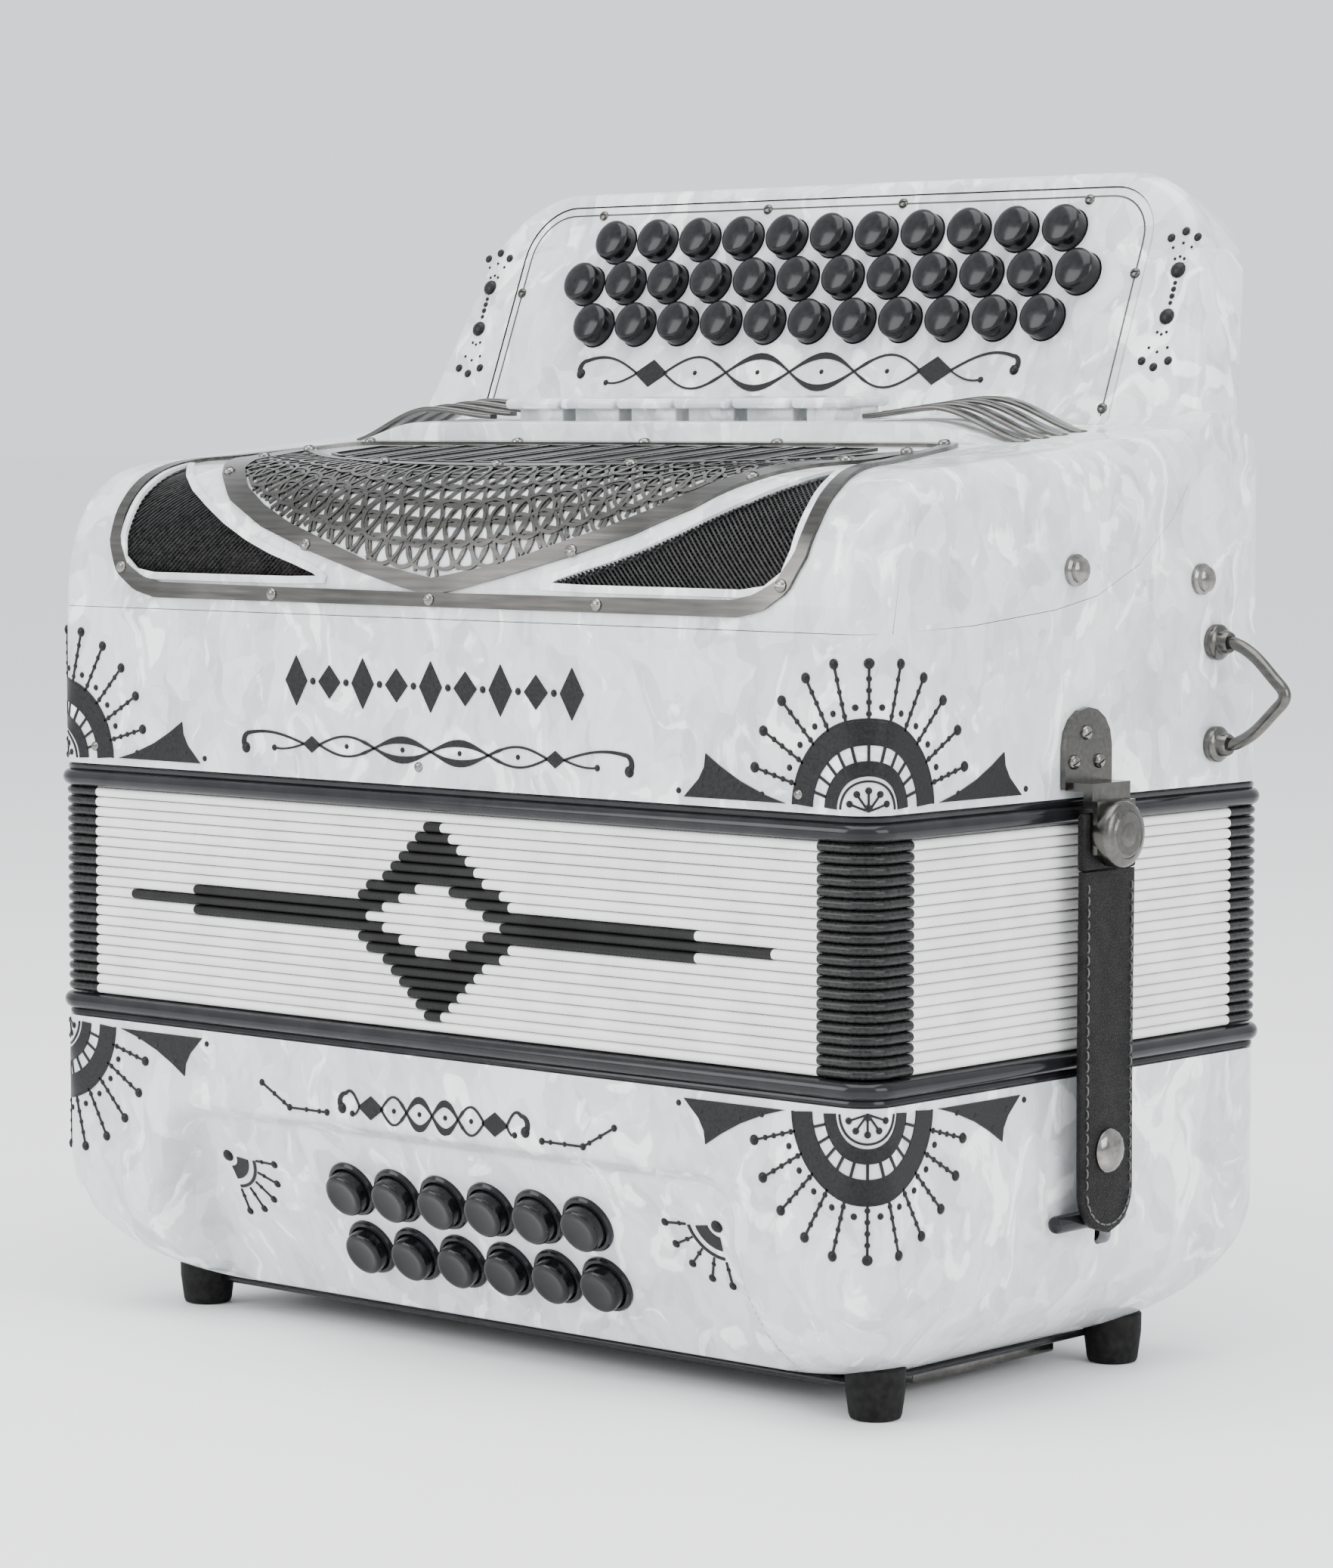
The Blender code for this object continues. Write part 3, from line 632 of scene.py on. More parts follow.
# ------------------------------------------------------------------------------------------ publishing
class Workshop:
    """Turns drawing-space meshes into finished pieces that ride on the frame."""

    def __init__(self) -> None:
        """Finds where the drawing's y = 0 lies in the frame."""
        lo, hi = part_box("bass_casing")
        self.to_frame = Matrix.Translation((0, (lo.y + hi.y) / 2, 0)) @ Matrix.Scale(MM, 4)
        self.finishes = FinishShop()
        self.count = 0

    def publish(self, name: str, bm: bmesh.types.BMesh, finish: Finish, body: str | None,
                stands_for: Sequence[str] = (), sharp: float = 32.0,
                extra: Sequence[Finish] = ()) -> bpy.types.Object:
        """Makes one finished piece.

        Args:
            name: Piece name.
            bm: Its mesh in drawing millimetres; it is used up.
            finish: Main finish, face material 0.
            body: Body that it rides on, or None to leave it without one.
            stands_for: CAD nodes that it replaces.
            sharp: Angle in degrees above which an edge stays sharp.
            extra: Further finishes, face materials 1 and up.

        Returns:
            The object.
        """
        bm.transform(self.to_frame)
        mesh = bpy.data.meshes.new(name)
        bm.to_mesh(mesh)
        bm.free()
        return self.dress(name, mesh, (finish, *extra), body, stands_for, sharp)

    def dress(self, name: str, mesh: bpy.types.Mesh, finishes: Sequence[Finish], body: str | None,
              stands_for: Sequence[str] = (), sharp: float | None = 32.0) -> bpy.types.Object:
        """Gives a mesh in frame metres its object, finishes, shading and body.

        Args:
            name: Name of the piece.
            mesh: Mesh in frame metres.
            finishes: Finish of each face material.
            body: Body that it rides on, or None to leave it without one.
            stands_for: CAD nodes that it replaces.
            sharp: Angle in degrees above which an edge stays sharp, or None to leave shading.

        Returns:
            The object.
        """
        obj = bpy.data.objects.new(name, mesh)
        bpy.context.scene.collection.objects.link(obj)
        if mesh.materials:
            mesh.materials.clear()
        for one in finishes:
            mesh.materials.append(self.finishes.get(one))
        if sharp is not None:
            mesh.shade_smooth()
            mesh.set_sharp_from_angle(angle=math.radians(sharp))
        if body:
            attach(obj, body)
        if stands_for:
            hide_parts(*stands_for)
        finishes[0].slot
        self.count += 1
        LOG.info("%s: %d faces", name, len(mesh.polygons))
        return obj

    def refinish(self, node: str, finish: Finish) -> None:
        """Gives a shown CAD node a better material.

        Args:
            node: Name of the CAD node.
            finish: Finish to give it.
        """
        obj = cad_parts[node]
        obj.data.materials.clear()
        obj.data.materials.append(self.finishes.get(finish))


class Scatter:
    """Geometry Nodes tree that sets copies of a small shape on points."""

    def __init__(self, shop: Workshop) -> None:
        """Builds the tree with its inputs.

        Args:
            shop: Workshop that finishes the pieces.
        """
        self.shop = shop
        tree = bpy.data.node_groups.new("set_on_points", "GeometryNodeTree")
        face = tree.interface
        face.new_socket("Geometry", in_out="INPUT", socket_type="NodeSocketGeometry")
        self.shape_id = face.new_socket("Shape", in_out="INPUT", socket_type="NodeSocketObject").identifier
        self.finish_id = face.new_socket("Finish", in_out="INPUT", socket_type="NodeSocketMaterial").identifier
        face.new_socket("Geometry", in_out="OUTPUT", socket_type="NodeSocketGeometry")
        node, link = tree.nodes.new, tree.links.new
        given, result = node("NodeGroupInput"), node("NodeGroupOutput")
        info = node("GeometryNodeObjectInfo")
        aim, roll, size = (node("GeometryNodeInputNamedAttribute") for _ in range(3))
        aim.data_type, roll.data_type, size.data_type = "FLOAT_VECTOR", "FLOAT_VECTOR", "FLOAT"
        for one, name in ((aim, "aim"), (roll, "along"), (size, "size")):
            one.inputs["Name"].default_value = name
        first, second = node("FunctionNodeAlignRotationToVector"), node("FunctionNodeAlignRotationToVector")
        first.axis, second.axis, second.pivot_axis = "Z", "X", "Z"
        place, real = node("GeometryNodeInstanceOnPoints"), node("GeometryNodeRealizeInstances")
        smooth, paint = node("GeometryNodeSetShadeSmooth"), node("GeometryNodeSetMaterial")
        link(given.outputs["Shape"], info.inputs["Object"])
        link(aim.outputs["Attribute"], first.inputs["Vector"])
        link(first.outputs[0], second.inputs["Rotation"])
        link(roll.outputs["Attribute"], second.inputs["Vector"])
        link(given.outputs["Geometry"], place.inputs["Points"])
        link(info.outputs["Geometry"], place.inputs["Instance"])
        link(second.outputs[0], place.inputs["Rotation"])
        link(size.outputs["Attribute"], place.inputs["Scale"])
        link(place.outputs[0], real.inputs[0])
        link(real.outputs[0], smooth.inputs[0])
        link(smooth.outputs[0], paint.inputs["Geometry"])
        link(given.outputs["Finish"], paint.inputs["Material"])
        link(paint.outputs[0], result.inputs[0])
        self.tree = tree

    def build(self, name: str, spots: Iterable[tuple[Vector, Vector, Vector, float]],
              shape: bmesh.types.BMesh, finish: Finish, body: str) -> bpy.types.Object:
        """Sets copies of shape on spots.

        Args:
            name: Piece name.
            spots: (place, aim, along, size) in drawing millimetres; aim is the shape's +z, along its +x.
            shape: Mesh of one copy at size 1, in millimetres; it is used up.
            finish: Finish of every copy.
            body: Body that the piece rides on.

        Returns:
            The finished piece.
        """
        spots = list(spots)
        shape.transform(Matrix.Scale(MM, 4))
        form_mesh = bpy.data.meshes.new("form")
        shape.to_mesh(form_mesh)
        shape.free()
        form = bpy.data.objects.new("form", form_mesh)
        points = bpy.data.meshes.new("points")
        points.from_pydata([self.shop.to_frame @ Vector(p) for p, _, _, _ in spots], [], [])
        for key, kind, column in (("aim", "FLOAT_VECTOR", 1), ("along", "FLOAT_VECTOR", 2)):
            values = [c for spot in spots for c in spot[column]]
            points.attributes.new(key, kind, "POINT").data.foreach_set("vector", values)
        points.attributes.new("size", "FLOAT", "POINT").data.foreach_set("value", [s[3] for s in spots])
        holder = bpy.data.objects.new("holder", points)
        for obj in (form, holder):
            bpy.context.scene.collection.objects.link(obj)
        nodes = holder.modifiers.new("set_on_points", "NODES")
        nodes.node_group = self.tree
        nodes[self.shape_id] = form
        nodes[self.finish_id] = self.shop.finishes.get(finish)
        mesh = evaluated_mesh(holder)
        for obj in (form, holder):
            bpy.data.objects.remove(obj, do_unlink=True)
        return self.shop.dress(name, mesh, (finish,), body, sharp=40.0)


class WireCloth:
    """Geometry Nodes tree that turns lines into round wire."""

    def __init__(self, shop: Workshop) -> None:
        """Builds the tree with its inputs.

        Args:
            shop: Workshop that finishes the pieces.
        """
        self.shop = shop
        tree = bpy.data.node_groups.new("lines_to_wire", "GeometryNodeTree")
        face = tree.interface
        face.new_socket("Geometry", in_out="INPUT", socket_type="NodeSocketGeometry")
        self.radius_id = face.new_socket("Radius", in_out="INPUT", socket_type="NodeSocketFloat").identifier
        self.finish_id = face.new_socket("Finish", in_out="INPUT", socket_type="NodeSocketMaterial").identifier
        face.new_socket("Geometry", in_out="OUTPUT", socket_type="NodeSocketGeometry")
        node, link = tree.nodes.new, tree.links.new
        given, result = node("NodeGroupInput"), node("NodeGroupOutput")
        lines, ring = node("GeometryNodeMeshToCurve"), node("GeometryNodeCurvePrimitiveCircle")
        skin, real = node("GeometryNodeCurveToMesh"), node("GeometryNodeRealizeInstances")
        paint = node("GeometryNodeSetMaterial")
        ring.inputs["Resolution"].default_value = 4
        skin.inputs["Fill Caps"].default_value = True
        link(given.outputs["Geometry"], lines.inputs[0])
        link(given.outputs["Radius"], ring.inputs["Radius"])
        link(lines.outputs[0], skin.inputs["Curve"])
        link(ring.outputs[0], skin.inputs["Profile Curve"])
        link(skin.outputs[0], real.inputs[0])
        link(real.outputs[0], paint.inputs["Geometry"])
        link(given.outputs["Finish"], paint.inputs["Material"])
        link(paint.outputs[0], result.inputs[0])
        self.tree = tree

    def build(self, name: str, lines: Sequence[Sequence[Vector]], radius: float, finish: Finish,
              body: str) -> bpy.types.Object:
        """Wire of the given radius in millimetres along each line of drawing-space points.

        Args:
            name: Name of the piece.
            lines: Lines of points in drawing millimetres.
            radius: Radius of the wire in millimetres.
            finish: Finish of the piece.
            body: Body that it rides on.

        Returns:
            The finished piece.
        """
        points = [self.shop.to_frame @ Vector(p) for line in lines for p in line]
        edges, start = [], 0
        for line in lines:
            edges += [(start + i, start + i + 1) for i in range(len(line) - 1)]
            start += len(line)
        mesh = bpy.data.meshes.new("lines")
        mesh.from_pydata(points, edges, [])
        holder = bpy.data.objects.new("holder", mesh)
        bpy.context.scene.collection.objects.link(holder)
        nodes = holder.modifiers.new("lines_to_wire", "NODES")
        nodes.node_group = self.tree
        nodes[self.radius_id] = radius * MM
        nodes[self.finish_id] = self.shop.finishes.get(finish)
        made = evaluated_mesh(holder)
        bpy.data.objects.remove(holder, do_unlink=True)
        return self.shop.dress(name, made, (finish,), body, sharp=60.0)


# ----------------------------------------------------------------------------------- decorated surfaces
class Surface:
    """A surface with its own flat coordinates (u, v)."""

    def at(self, u: float, v: float, lift: float = 0.0) -> Vector:
        """Point in the drawing at (u, v), lifted off the surface."""
        raise NotImplementedError

    def out(self, u: float, v: float) -> Vector:
        """Outward direction at (u, v)."""
        return (self.at(u, v, 1.0) - self.at(u, v, 0.0)).normalized()

    def along(self, u: float, v: float) -> Vector:
        """Direction of growing u at (u, v)."""
        return (self.at(u + 0.1, v) - self.at(u - 0.1, v)).normalized()


@dataclass(frozen=True)
class Plane(Surface):
    """Flat face: u along x, v up a slope."""

    origin: Vector
    up: Vector
    side: Vector = field(default_factory=lambda: Vector((1, 0, 0)))

    def at(self, u: float, v: float, lift: float = 0.0) -> Vector:
        """Point in the drawing at (u, v), lifted off the surface."""
        normal = self.side.cross(self.up)
        return self.origin + self.side * u + self.up * v + normal * lift


@dataclass(frozen=True)
class CornerWrap(Surface):
    """Front and end face wrapped round a vertical corner; u = 0 on the corner, v is height."""

    side: int
    half_w: float = HALF_W
    half_d: float = HALF_D
    r: float = CORNER_R

    def at(self, u: float, v: float, lift: float = 0.0) -> Vector:
        """Point in the drawing at (u, v), lifted off the surface.

        Args:
            u: Distance from the corner, negative on the front.
            v: Height.
            lift: Height off the surface in millimetres.

        Returns:
            The point in the drawing.
        """
        turn = self.r * math.pi / 4
        cx, cy = self.half_w - self.r, self.r - self.half_d
        if u < -turn:
            x, y = cx + u + turn, -self.half_d - lift
        elif u > turn:
            x, y = self.half_w + lift, cy + u - turn
        else:
            a = math.radians(-45 + 45 * u / turn)
            x, y = cx + (self.r + lift) * math.cos(a), cy + (self.r + lift) * math.sin(a)
        return Vector((self.side * x, y, v))


class Inlay:
    """Thin raised enamel work, collected on surfaces and published as one piece."""

    LOW, HIGH = -0.25, 0.35

    def __init__(self) -> None:
        """Starts with nothing drawn."""
        self.bm = bmesh.new()
        self.studs: list[tuple[Vector, Vector, Vector, float]] = []

    def band(self, on: Surface, path: Sequence[Point], width: float | Callable[[float], float],
             closed: bool = False, high: float | None = None) -> None:
        """Flat ribbon along a path in (u, v); width may be a function of 0..1 along it.

        Args:
            on: Surface that it lies on.
            path: Points along the path.
            width: Width, or a function of 0..1 along the path.
            closed: Whether the path joins its start.
            high: Height of the top, or None for the usual one.
        """
        pts = [Vector((p[0], p[1])) for p in path]
        n = len(pts)
        rings = []
        top = self.HIGH if high is None else high
        for i, p in enumerate(pts):
            a = pts[(i - 1) % n] if closed or i else p
            b = pts[(i + 1) % n] if closed or i < n - 1 else p
            ahead = (b - a).normalized()
            w = (width(i / max(1, n - 1)) if callable(width) else width) / 2
            off = Vector((-ahead.y, ahead.x)) * w
            left, right = p + off, p - off
            rings.append([on.at(left.x, left.y, self.LOW), on.at(left.x, left.y, top),
                          on.at(right.x, right.y, top), on.at(right.x, right.y, self.LOW)])
        loft(rings, closed, self.bm)

    def patch(self, on: Surface, outline: Sequence[Point]) -> None:
        """Filled flat shape with an outline in (u, v)."""
        loft([[on.at(p[0], p[1], h) for p in outline] for h in (self.LOW, self.HIGH)], bm=self.bm)

    def dot(self, on: Surface, u: float, v: float, r: float) -> None:
        """Domed stud of radius r."""
        self.studs.append((on.at(u, v, 0.1), on.out(u, v), on.along(u, v), r))

    def chain(self, on: Surface, start: Point, end: Point, dots: int, small: float, last: float) -> None:
        """Fine line with small studs on it and a larger stud on its end.

        Args:
            on: Surface that it lies on.
            start: Start of the line.
            end: End of the line.
            dots: Number of small studs.
            small: Radius of the small studs.
            last: Radius of the stud on the end.
        """
        a, b = Vector(start[:2]), Vector(end[:2])
        self.band(on, [a.lerp(b, i / 8) for i in range(9)], 0.7)
        for i in range(dots):
            p = a.lerp(b, (i + 0.6) / (dots + 0.9))
            self.dot(on, p.x, p.y, small)
        self.dot(on, b.x, b.y, last)

    def publish(self, name: str, shop: Workshop, scatter: Scatter, body: str) -> None:
        """Makes the enamel and its studs into pieces on a body.

        Args:
            name: Name of the piece.
            shop: Workshop that finishes the pieces.
            scatter: Tree that sets small copies on points.
            body: Body that it rides on.
        """
        shop.publish(name, self.bm, Finish.INLAY, body, sharp=20)
        dome = turned((0, 0, 0), (0, 0, 1), [(1.0, 0), (1.0, 0.12), (0.8, 0.36), (0.42, 0.52), (0, 0.58)], 12)
        scatter.build(name + "_studs", self.studs, dome, Finish.INLAY, body)


def screw_form() -> bmesh.types.BMesh:
    """Domed screw head of radius 1 with a straight slot.

    Returns:
        The mesh of one head.
    """
    head = turned((0, 0, 0), (0, 0, 1), [(1.0, -0.3), (1.0, 0.15), (0.85, 0.42), (0.5, 0.58), (0, 0.62)], 16)
    slot = soft_box((-1.2, -0.14, 0.30), (1.2, 0.14, 1.0), 0.03)
    return combine(head, ("DIFFERENCE", slot))


def scroll(work: Inlay, on: Surface, cu: float, cv: float, half: float, tall: float) -> None:
    """Symmetrical flourish: two crossing waves, a diamond on each side and curled tails.

    Args:
        work: Enamel that it is added to.
        on: Surface that it lies on.
        cu: Middle, across.
        cv: Middle, up.
        half: Half length.
        tall: Height of the waves.
    """
    reach = half * 0.62
    for flip in (1, -1):
        wave = [(cu + reach * t / 24, cv + flip * tall * 0.42 * math.sin(math.pi * 2 * t / 24))
                for t in range(-24, 25)]
        work.band(on, wave, lambda q: 0.7 + 1.5 * math.sin(math.pi * ((q * 4) % 1)) ** 2 * (0.2 < q < 0.8))
    for side in (1, -1):
        d = tall * 0.36
        mid = cu + side * (reach + d * 1.2)
        work.patch(on, [(mid - d * 1.5, cv), (mid, cv - d), (mid + d * 1.5, cv), (mid, cv + d)])
        span = half - reach - d * 2
        tail = [(mid + side * (d * 1.3 + span * q), cv + tall * 0.44 * math.sin(2.2 * q))
                for q in [i / 14 for i in range(15)]]
        curl = [(tail[-1][0] + side * 2.6 * math.sin(a), tail[-1][1] - 2.6 + 2.6 * math.cos(a))
                for a in [0.35 * i for i in range(1, 8)]]
        work.band(on, tail + curl, lambda q: 0.7 + 1.6 * q ** 3)
        work.dot(on, curl[-1][0], curl[-1][1], 1.7)
        low = [(mid + side * (d * 1.3 + span * 0.55 * q), cv - tall * 0.26 * math.sin(2.0 * q))
               for q in [i / 10 for i in range(11)]]
        work.band(on, low, 0.6)
        work.dot(on, low[-1][0], low[-1][1], 1.0)
        for k in (0.25, 0.75):
            work.dot(on, cu + side * reach * k, cv, 0.8)


def sunburst(work: Inlay, on: Surface, centre: float, flip: int) -> None:
    """Half rosette standing on a casing's rim at the corner, with studded rays and two leaves.

    Args:
        work: Enamel that it is added to.
        on: Surface that it lies on.
        centre: Height of the casing's rim.
        flip: 1 where it stands up from the rim, -1 where it hangs down.
    """
    def polar(r: float, degrees: float) -> tuple[float, float]:
        """Point at a radius and an angle above the rim."""
        a = math.radians(degrees)
        return r * math.cos(a), centre + flip * r * math.sin(a)

    for r, w in ((21.2, 6.6), (11.6, 4.2), (8.2, 0.6), (24.9, 0.7)):
        work.band(on, [polar(r, 2 + 176 * i / 36) for i in range(37)], w)
    for i in range(1, 12):
        work.band(on, [polar(r, 15 * i) for r in (13.4, 15.6, 18.0)], 0.8)
    for i in range(5):
        angle = 20 + 35 * i
        work.band(on, [polar(r, angle) for r in (0.8, 3.0, 5.2)], 0.6)
        work.dot(on, *polar(5.6, angle), 1.0)
    work.dot(on, 0, centre + flip * 0.8, 1.1)
    for i in range(11):
        angle = 15 + 15 * i
        work.chain(on, polar(24.5, angle), polar(40.0 if i % 5 == 0 else 41.0, angle), 4, 0.85, 1.55)
        if i < 10:
            work.dot(on, *polar(28.3, angle + 7.5), 0.95)
    for side in (-1, 1):
        leaf = ((27.5, 1.0), (35, 3.0), (44, 6.4), (51, 10.0), (56.5, 13.4), (57.0, 9.6), (59.0, 6.2),
                (64.5, 1.0))
        work.patch(on, [(side * u, centre + flip * v) for u, v in leaf])
        for u, v in ((66.5, 2.6), (52.0, 9.0), (44.0, 4.8), (36.0, 3.0), (58.0, 4.2)):
            work.dot(on, side * u, centre + flip * v, 0.9)


# ---------------------------------------------------------------------------------------- sub-assemblies
@dataclass
class BassSide:
    """Lower casing with its buttons, feet, hand strap and air lever."""

    half_w: float = HALF_W
    half_d: float = HALF_D
    corner: float = CORNER_R
    floor: float = 10.0
    top: float = 93.6
    round_r: float = 40.0
    wall: float = 4.0
    panel_top: float = 69.5
    panel_y: float = -88.5
    slope: float = 0.45
    panel_half: float = 117.0
    rows: tuple[float, float] = (23.1, 43.6)
    pitch: float = 19.3
    row_x: float = 0.6
    button_r: float = 7.0

    def face(self) -> Plane:
        """The sloping button panel, v up from its top edge."""
        up = Vector((0, -self.slope, 1)).normalized()
        return Plane(Vector((0, self.panel_y, self.panel_top)), up)

    def button_places(self) -> list[list[tuple[float, float]]]:
        """Places of each row's six buttons on the panel."""
        return [[(self.row_x + (i - 2.5) * self.pitch, -s) for i in range(6)] for s in self.rows]

    def _ring(self, inset: float, z: float, wall: float) -> Ring:
        """Cross-section of the casing at height z, its front carrying the recessed panel.

        Args:
            inset: Distance in from the casing's full size.
            z: Height.
            wall: Further distance in, for the inside of the wall.

        Returns:
            Points round the casing.
        """
        hx, hy = self.half_w - inset - wall, self.half_d - inset - wall
        r = max(2.0, self.corner + 0.5 * inset - wall)
        pts = [Vector((x, y, z)) for x, y in rounded_rect(hx, hy, r, 8)]
        steps = 180
        front = []
        for i in range(1, steps):
            x = (hx - r) * math.sin(math.pi * (i / steps - 0.5))
            edge = self.panel_half + 6.0 * smoothstep((60 - z) / 45)
            side = (edge - abs(x)) / 7.5
            head = (self.panel_top + 3.0 - z) / 7.0
            if side > 0 and head > 0 and side < 2.2 and head < 2.2:
                depth = min(1.0, 2.2 - math.hypot(max(0, 2.2 - side), max(0, 2.2 - head)))
            else:
                depth = min(side, head, 1.0)
            plane = self.panel_y + (self.panel_top - z) * self.slope + wall
            y = -hy + smoothstep(depth) * max(0.0, plane + hy)
            front.append(Vector((x, y, z)))
        return pts[:27] + front + pts[27:]

    def build_casing(self, shop: Workshop) -> None:
        """Shell with rounded lower edges, soft-edged panel recess and twelve button holes.

        Args:
            shop: Workshop that finishes the pieces.
        """
        turn = [90 * i / 30 for i in range(31)]
        levels = [(self.round_r * (1 - math.sin(math.radians(a))),
                   self.floor + self.round_r * (1 - math.cos(math.radians(a)))) for a in turn]
        levels += [(0.0, 50.0 + 1.0 * i) for i in range(1, 32)] + [(0.0, self.top)]
        outer = [self._ring(inset, z, 0.0) for inset, z in levels]
        inner = [self._ring(inset, z, self.wall) for inset, z in reversed(levels) if z > 17.0]
        shell = loft(outer + inner)
        face = self.face()
        cutter = bmesh.new()
        hole = [(self.button_r + 0.4, 0), (self.button_r + 0.4, 22)]
        for row in self.button_places():
            for x, s in row:
                turned(face.at(x, s, -12), face.out(x, s), hole, 32, cutter)
        slot = prism([(y + 13.0, z + 52.0) for y, z in rounded_rect(4.0, 8.0, 2.0, 4)], "x", 150, 175)
        shell = combine(shell, ("DIFFERENCE", cutter), ("DIFFERENCE", slot))
        shop.publish("bass_shell", shell, Finish.PEARL, "bass", ["bass_casing"], sharp=40)

    def build_buttons(self, shop: Workshop) -> None:
        """Dished caps in two rows, and the fixed collar round each.

        Args:
            shop: Workshop that finishes the pieces.
        """
        face = self.face()
        cap = [(self.button_r, -8.5), (self.button_r, 4.4), (self.button_r - 0.25, 5.0),
               (self.button_r - 0.8, 5.4), (self.button_r - 1.5, 5.5), (self.button_r - 2.2, 5.35),
               (3.0, 5.1), (0, 5.0)]
        rim = [(self.button_r + 0.35, -1.0), (self.button_r + 0.35, 1.2), (self.button_r + 0.7, 1.55),
               (self.button_r + 1.6, 1.45), (self.button_r + 2.1, 0.8), (self.button_r + 2.2, -1.0)]
        collars = bmesh.new()
        for name, row in zip(("upper", "lower"), self.button_places()):
            caps = bmesh.new()
            for x, s in row:
                turned(face.at(x, s), face.out(x, s), cap, 40, caps)
                rings = []
                for i in range(40):
                    a = 2 * math.pi * i / 40
                    rings.append([face.at(x + r * math.cos(a), s + r * math.sin(a), h) for r, h in rim])
                loft(rings, True, collars)
            loft([[face.at(x, s, n) for x, s in self._bar(row)] for n in (-12.5, -6.9)], bm=caps)
            shop.publish(f"bass_{name}_row", caps, Finish.BUTTON, f"bass_row_{name}",
                         [f"bass_buttons_{name}"])
        shop.publish("bass_button_collars", collars, Finish.LACQUER, "bass")

    def _bar(self, row: Sequence[tuple[float, float]]) -> list[tuple[float, float]]:
        """Outline of the action bar behind a row."""
        x0, x1, s = row[0][0] - 9.0, row[-1][0] + 9.0, row[0][1]
        return [(x0, s - 5.0), (x1, s - 5.0), (x1, s + 5.0), (x0, s + 5.0)]

    def build_base(self, shop: Workshop) -> None:
        """End plate and four rubber feet.

        Args:
            shop: Workshop that finishes the pieces.
        """
        plate = soft_box((-132, -58, 7.7), (132, 58, 9.8), 0.9)
        shop.publish("bass_end_cover", plate, Finish.LACQUER, "bass", ["bass_end_plate"])
        feet = bmesh.new()
        foot = [(6.2, 0.0), (7.2, 0.4), (7.6, 1.4), (8.6, 9.0), (8.7, 14.5), (8.0, 15.2), (4.0, 15.4)]
        for sx in (-1, 1):
            for sy in (-1, 1):
                turned((sx * 137, sy * 56, 0), (0, 0, 1), foot, 36, feet)
        shop.publish("rubber_feet", feet, Finish.RUBBER, "bass")

    def build_hand_strap(self, shop: Workshop, scatter: Scatter) -> None:
        """Padded hand strap under the end plate, its stitches and the clamps at both ends.

        Args:
            shop: Workshop that finishes the pieces.
            scatter: Tree that sets small copies on points.
        """
        rings = []
        steps = 56
        for i in range(steps + 1):
            x = -127.0 + 254.0 * i / steps
            rise = smoothstep((abs(x) - 98.0) / 24.0)
            mid, thick = 4.3 + 1.6 * rise, 2.55 - 1.45 * rise
            ring = []
            for k in range(28):
                a = 2 * math.pi * k / 28
                c, s = math.cos(a), math.sin(a)
                pull = 31.0 * (1 - 0.05 * math.sin(math.pi * i / steps * 7) ** 2 * (1 - rise))
                ring.append(Vector((x, 6.5 + pull * math.copysign(abs(c) ** 0.35, c),
                                    mid + thick * math.copysign(abs(s) ** 0.8, s))))
            rings.append(ring)
        strap = shop.publish("hand_strap_pad", loft(rings), Finish.LEATHER, "bass", ["hand_strap"], sharp=60)
        spots = []
        for y in (-20.5, 33.5):
            for i in range(62):
                x = -98.0 + 196.0 * i / 61
                spots.append((Vector((x, y, 2.0)), Vector((0, 0, -1)), Vector((1, 0, 0)), 1.0))
        scatter.build("hand_strap_stitches", spots, stitch_form(), Finish.THREAD, "bass")
        hooks = bmesh.new()
        for sx in (-1, 1):
            soft_box((sx * 124 - 3.5, -27, 3.9), (sx * 124 + 3.5, 40, 7.6), 0.8, hooks)
        shop.publish("hand_strap_clamps", hooks, Finish.NICKEL, "bass")

    def build_lever(self, shop: Workshop) -> None:
        """Round thumb bar of the air valve on its arm.

        Args:
            shop: Workshop that finishes the pieces.
        """
        bar = [(0, 0), (1.6, 0.1), (2.3, 0.5), (2.6, 1.3), (2.6, 30.7), (2.3, 31.5), (1.6, 31.9), (0, 32)]
        lever = turned((168.3, -15.0, 53.0), (0, 1, 0), bar, 24)
        soft_box((150.0, 10.5, 50.6), (168.0, 15.5, 55.4), 0.8, lever)
        shop.publish("air_valve_lever", lever, Finish.LACQUER, "air_lever", ["air_lever"])

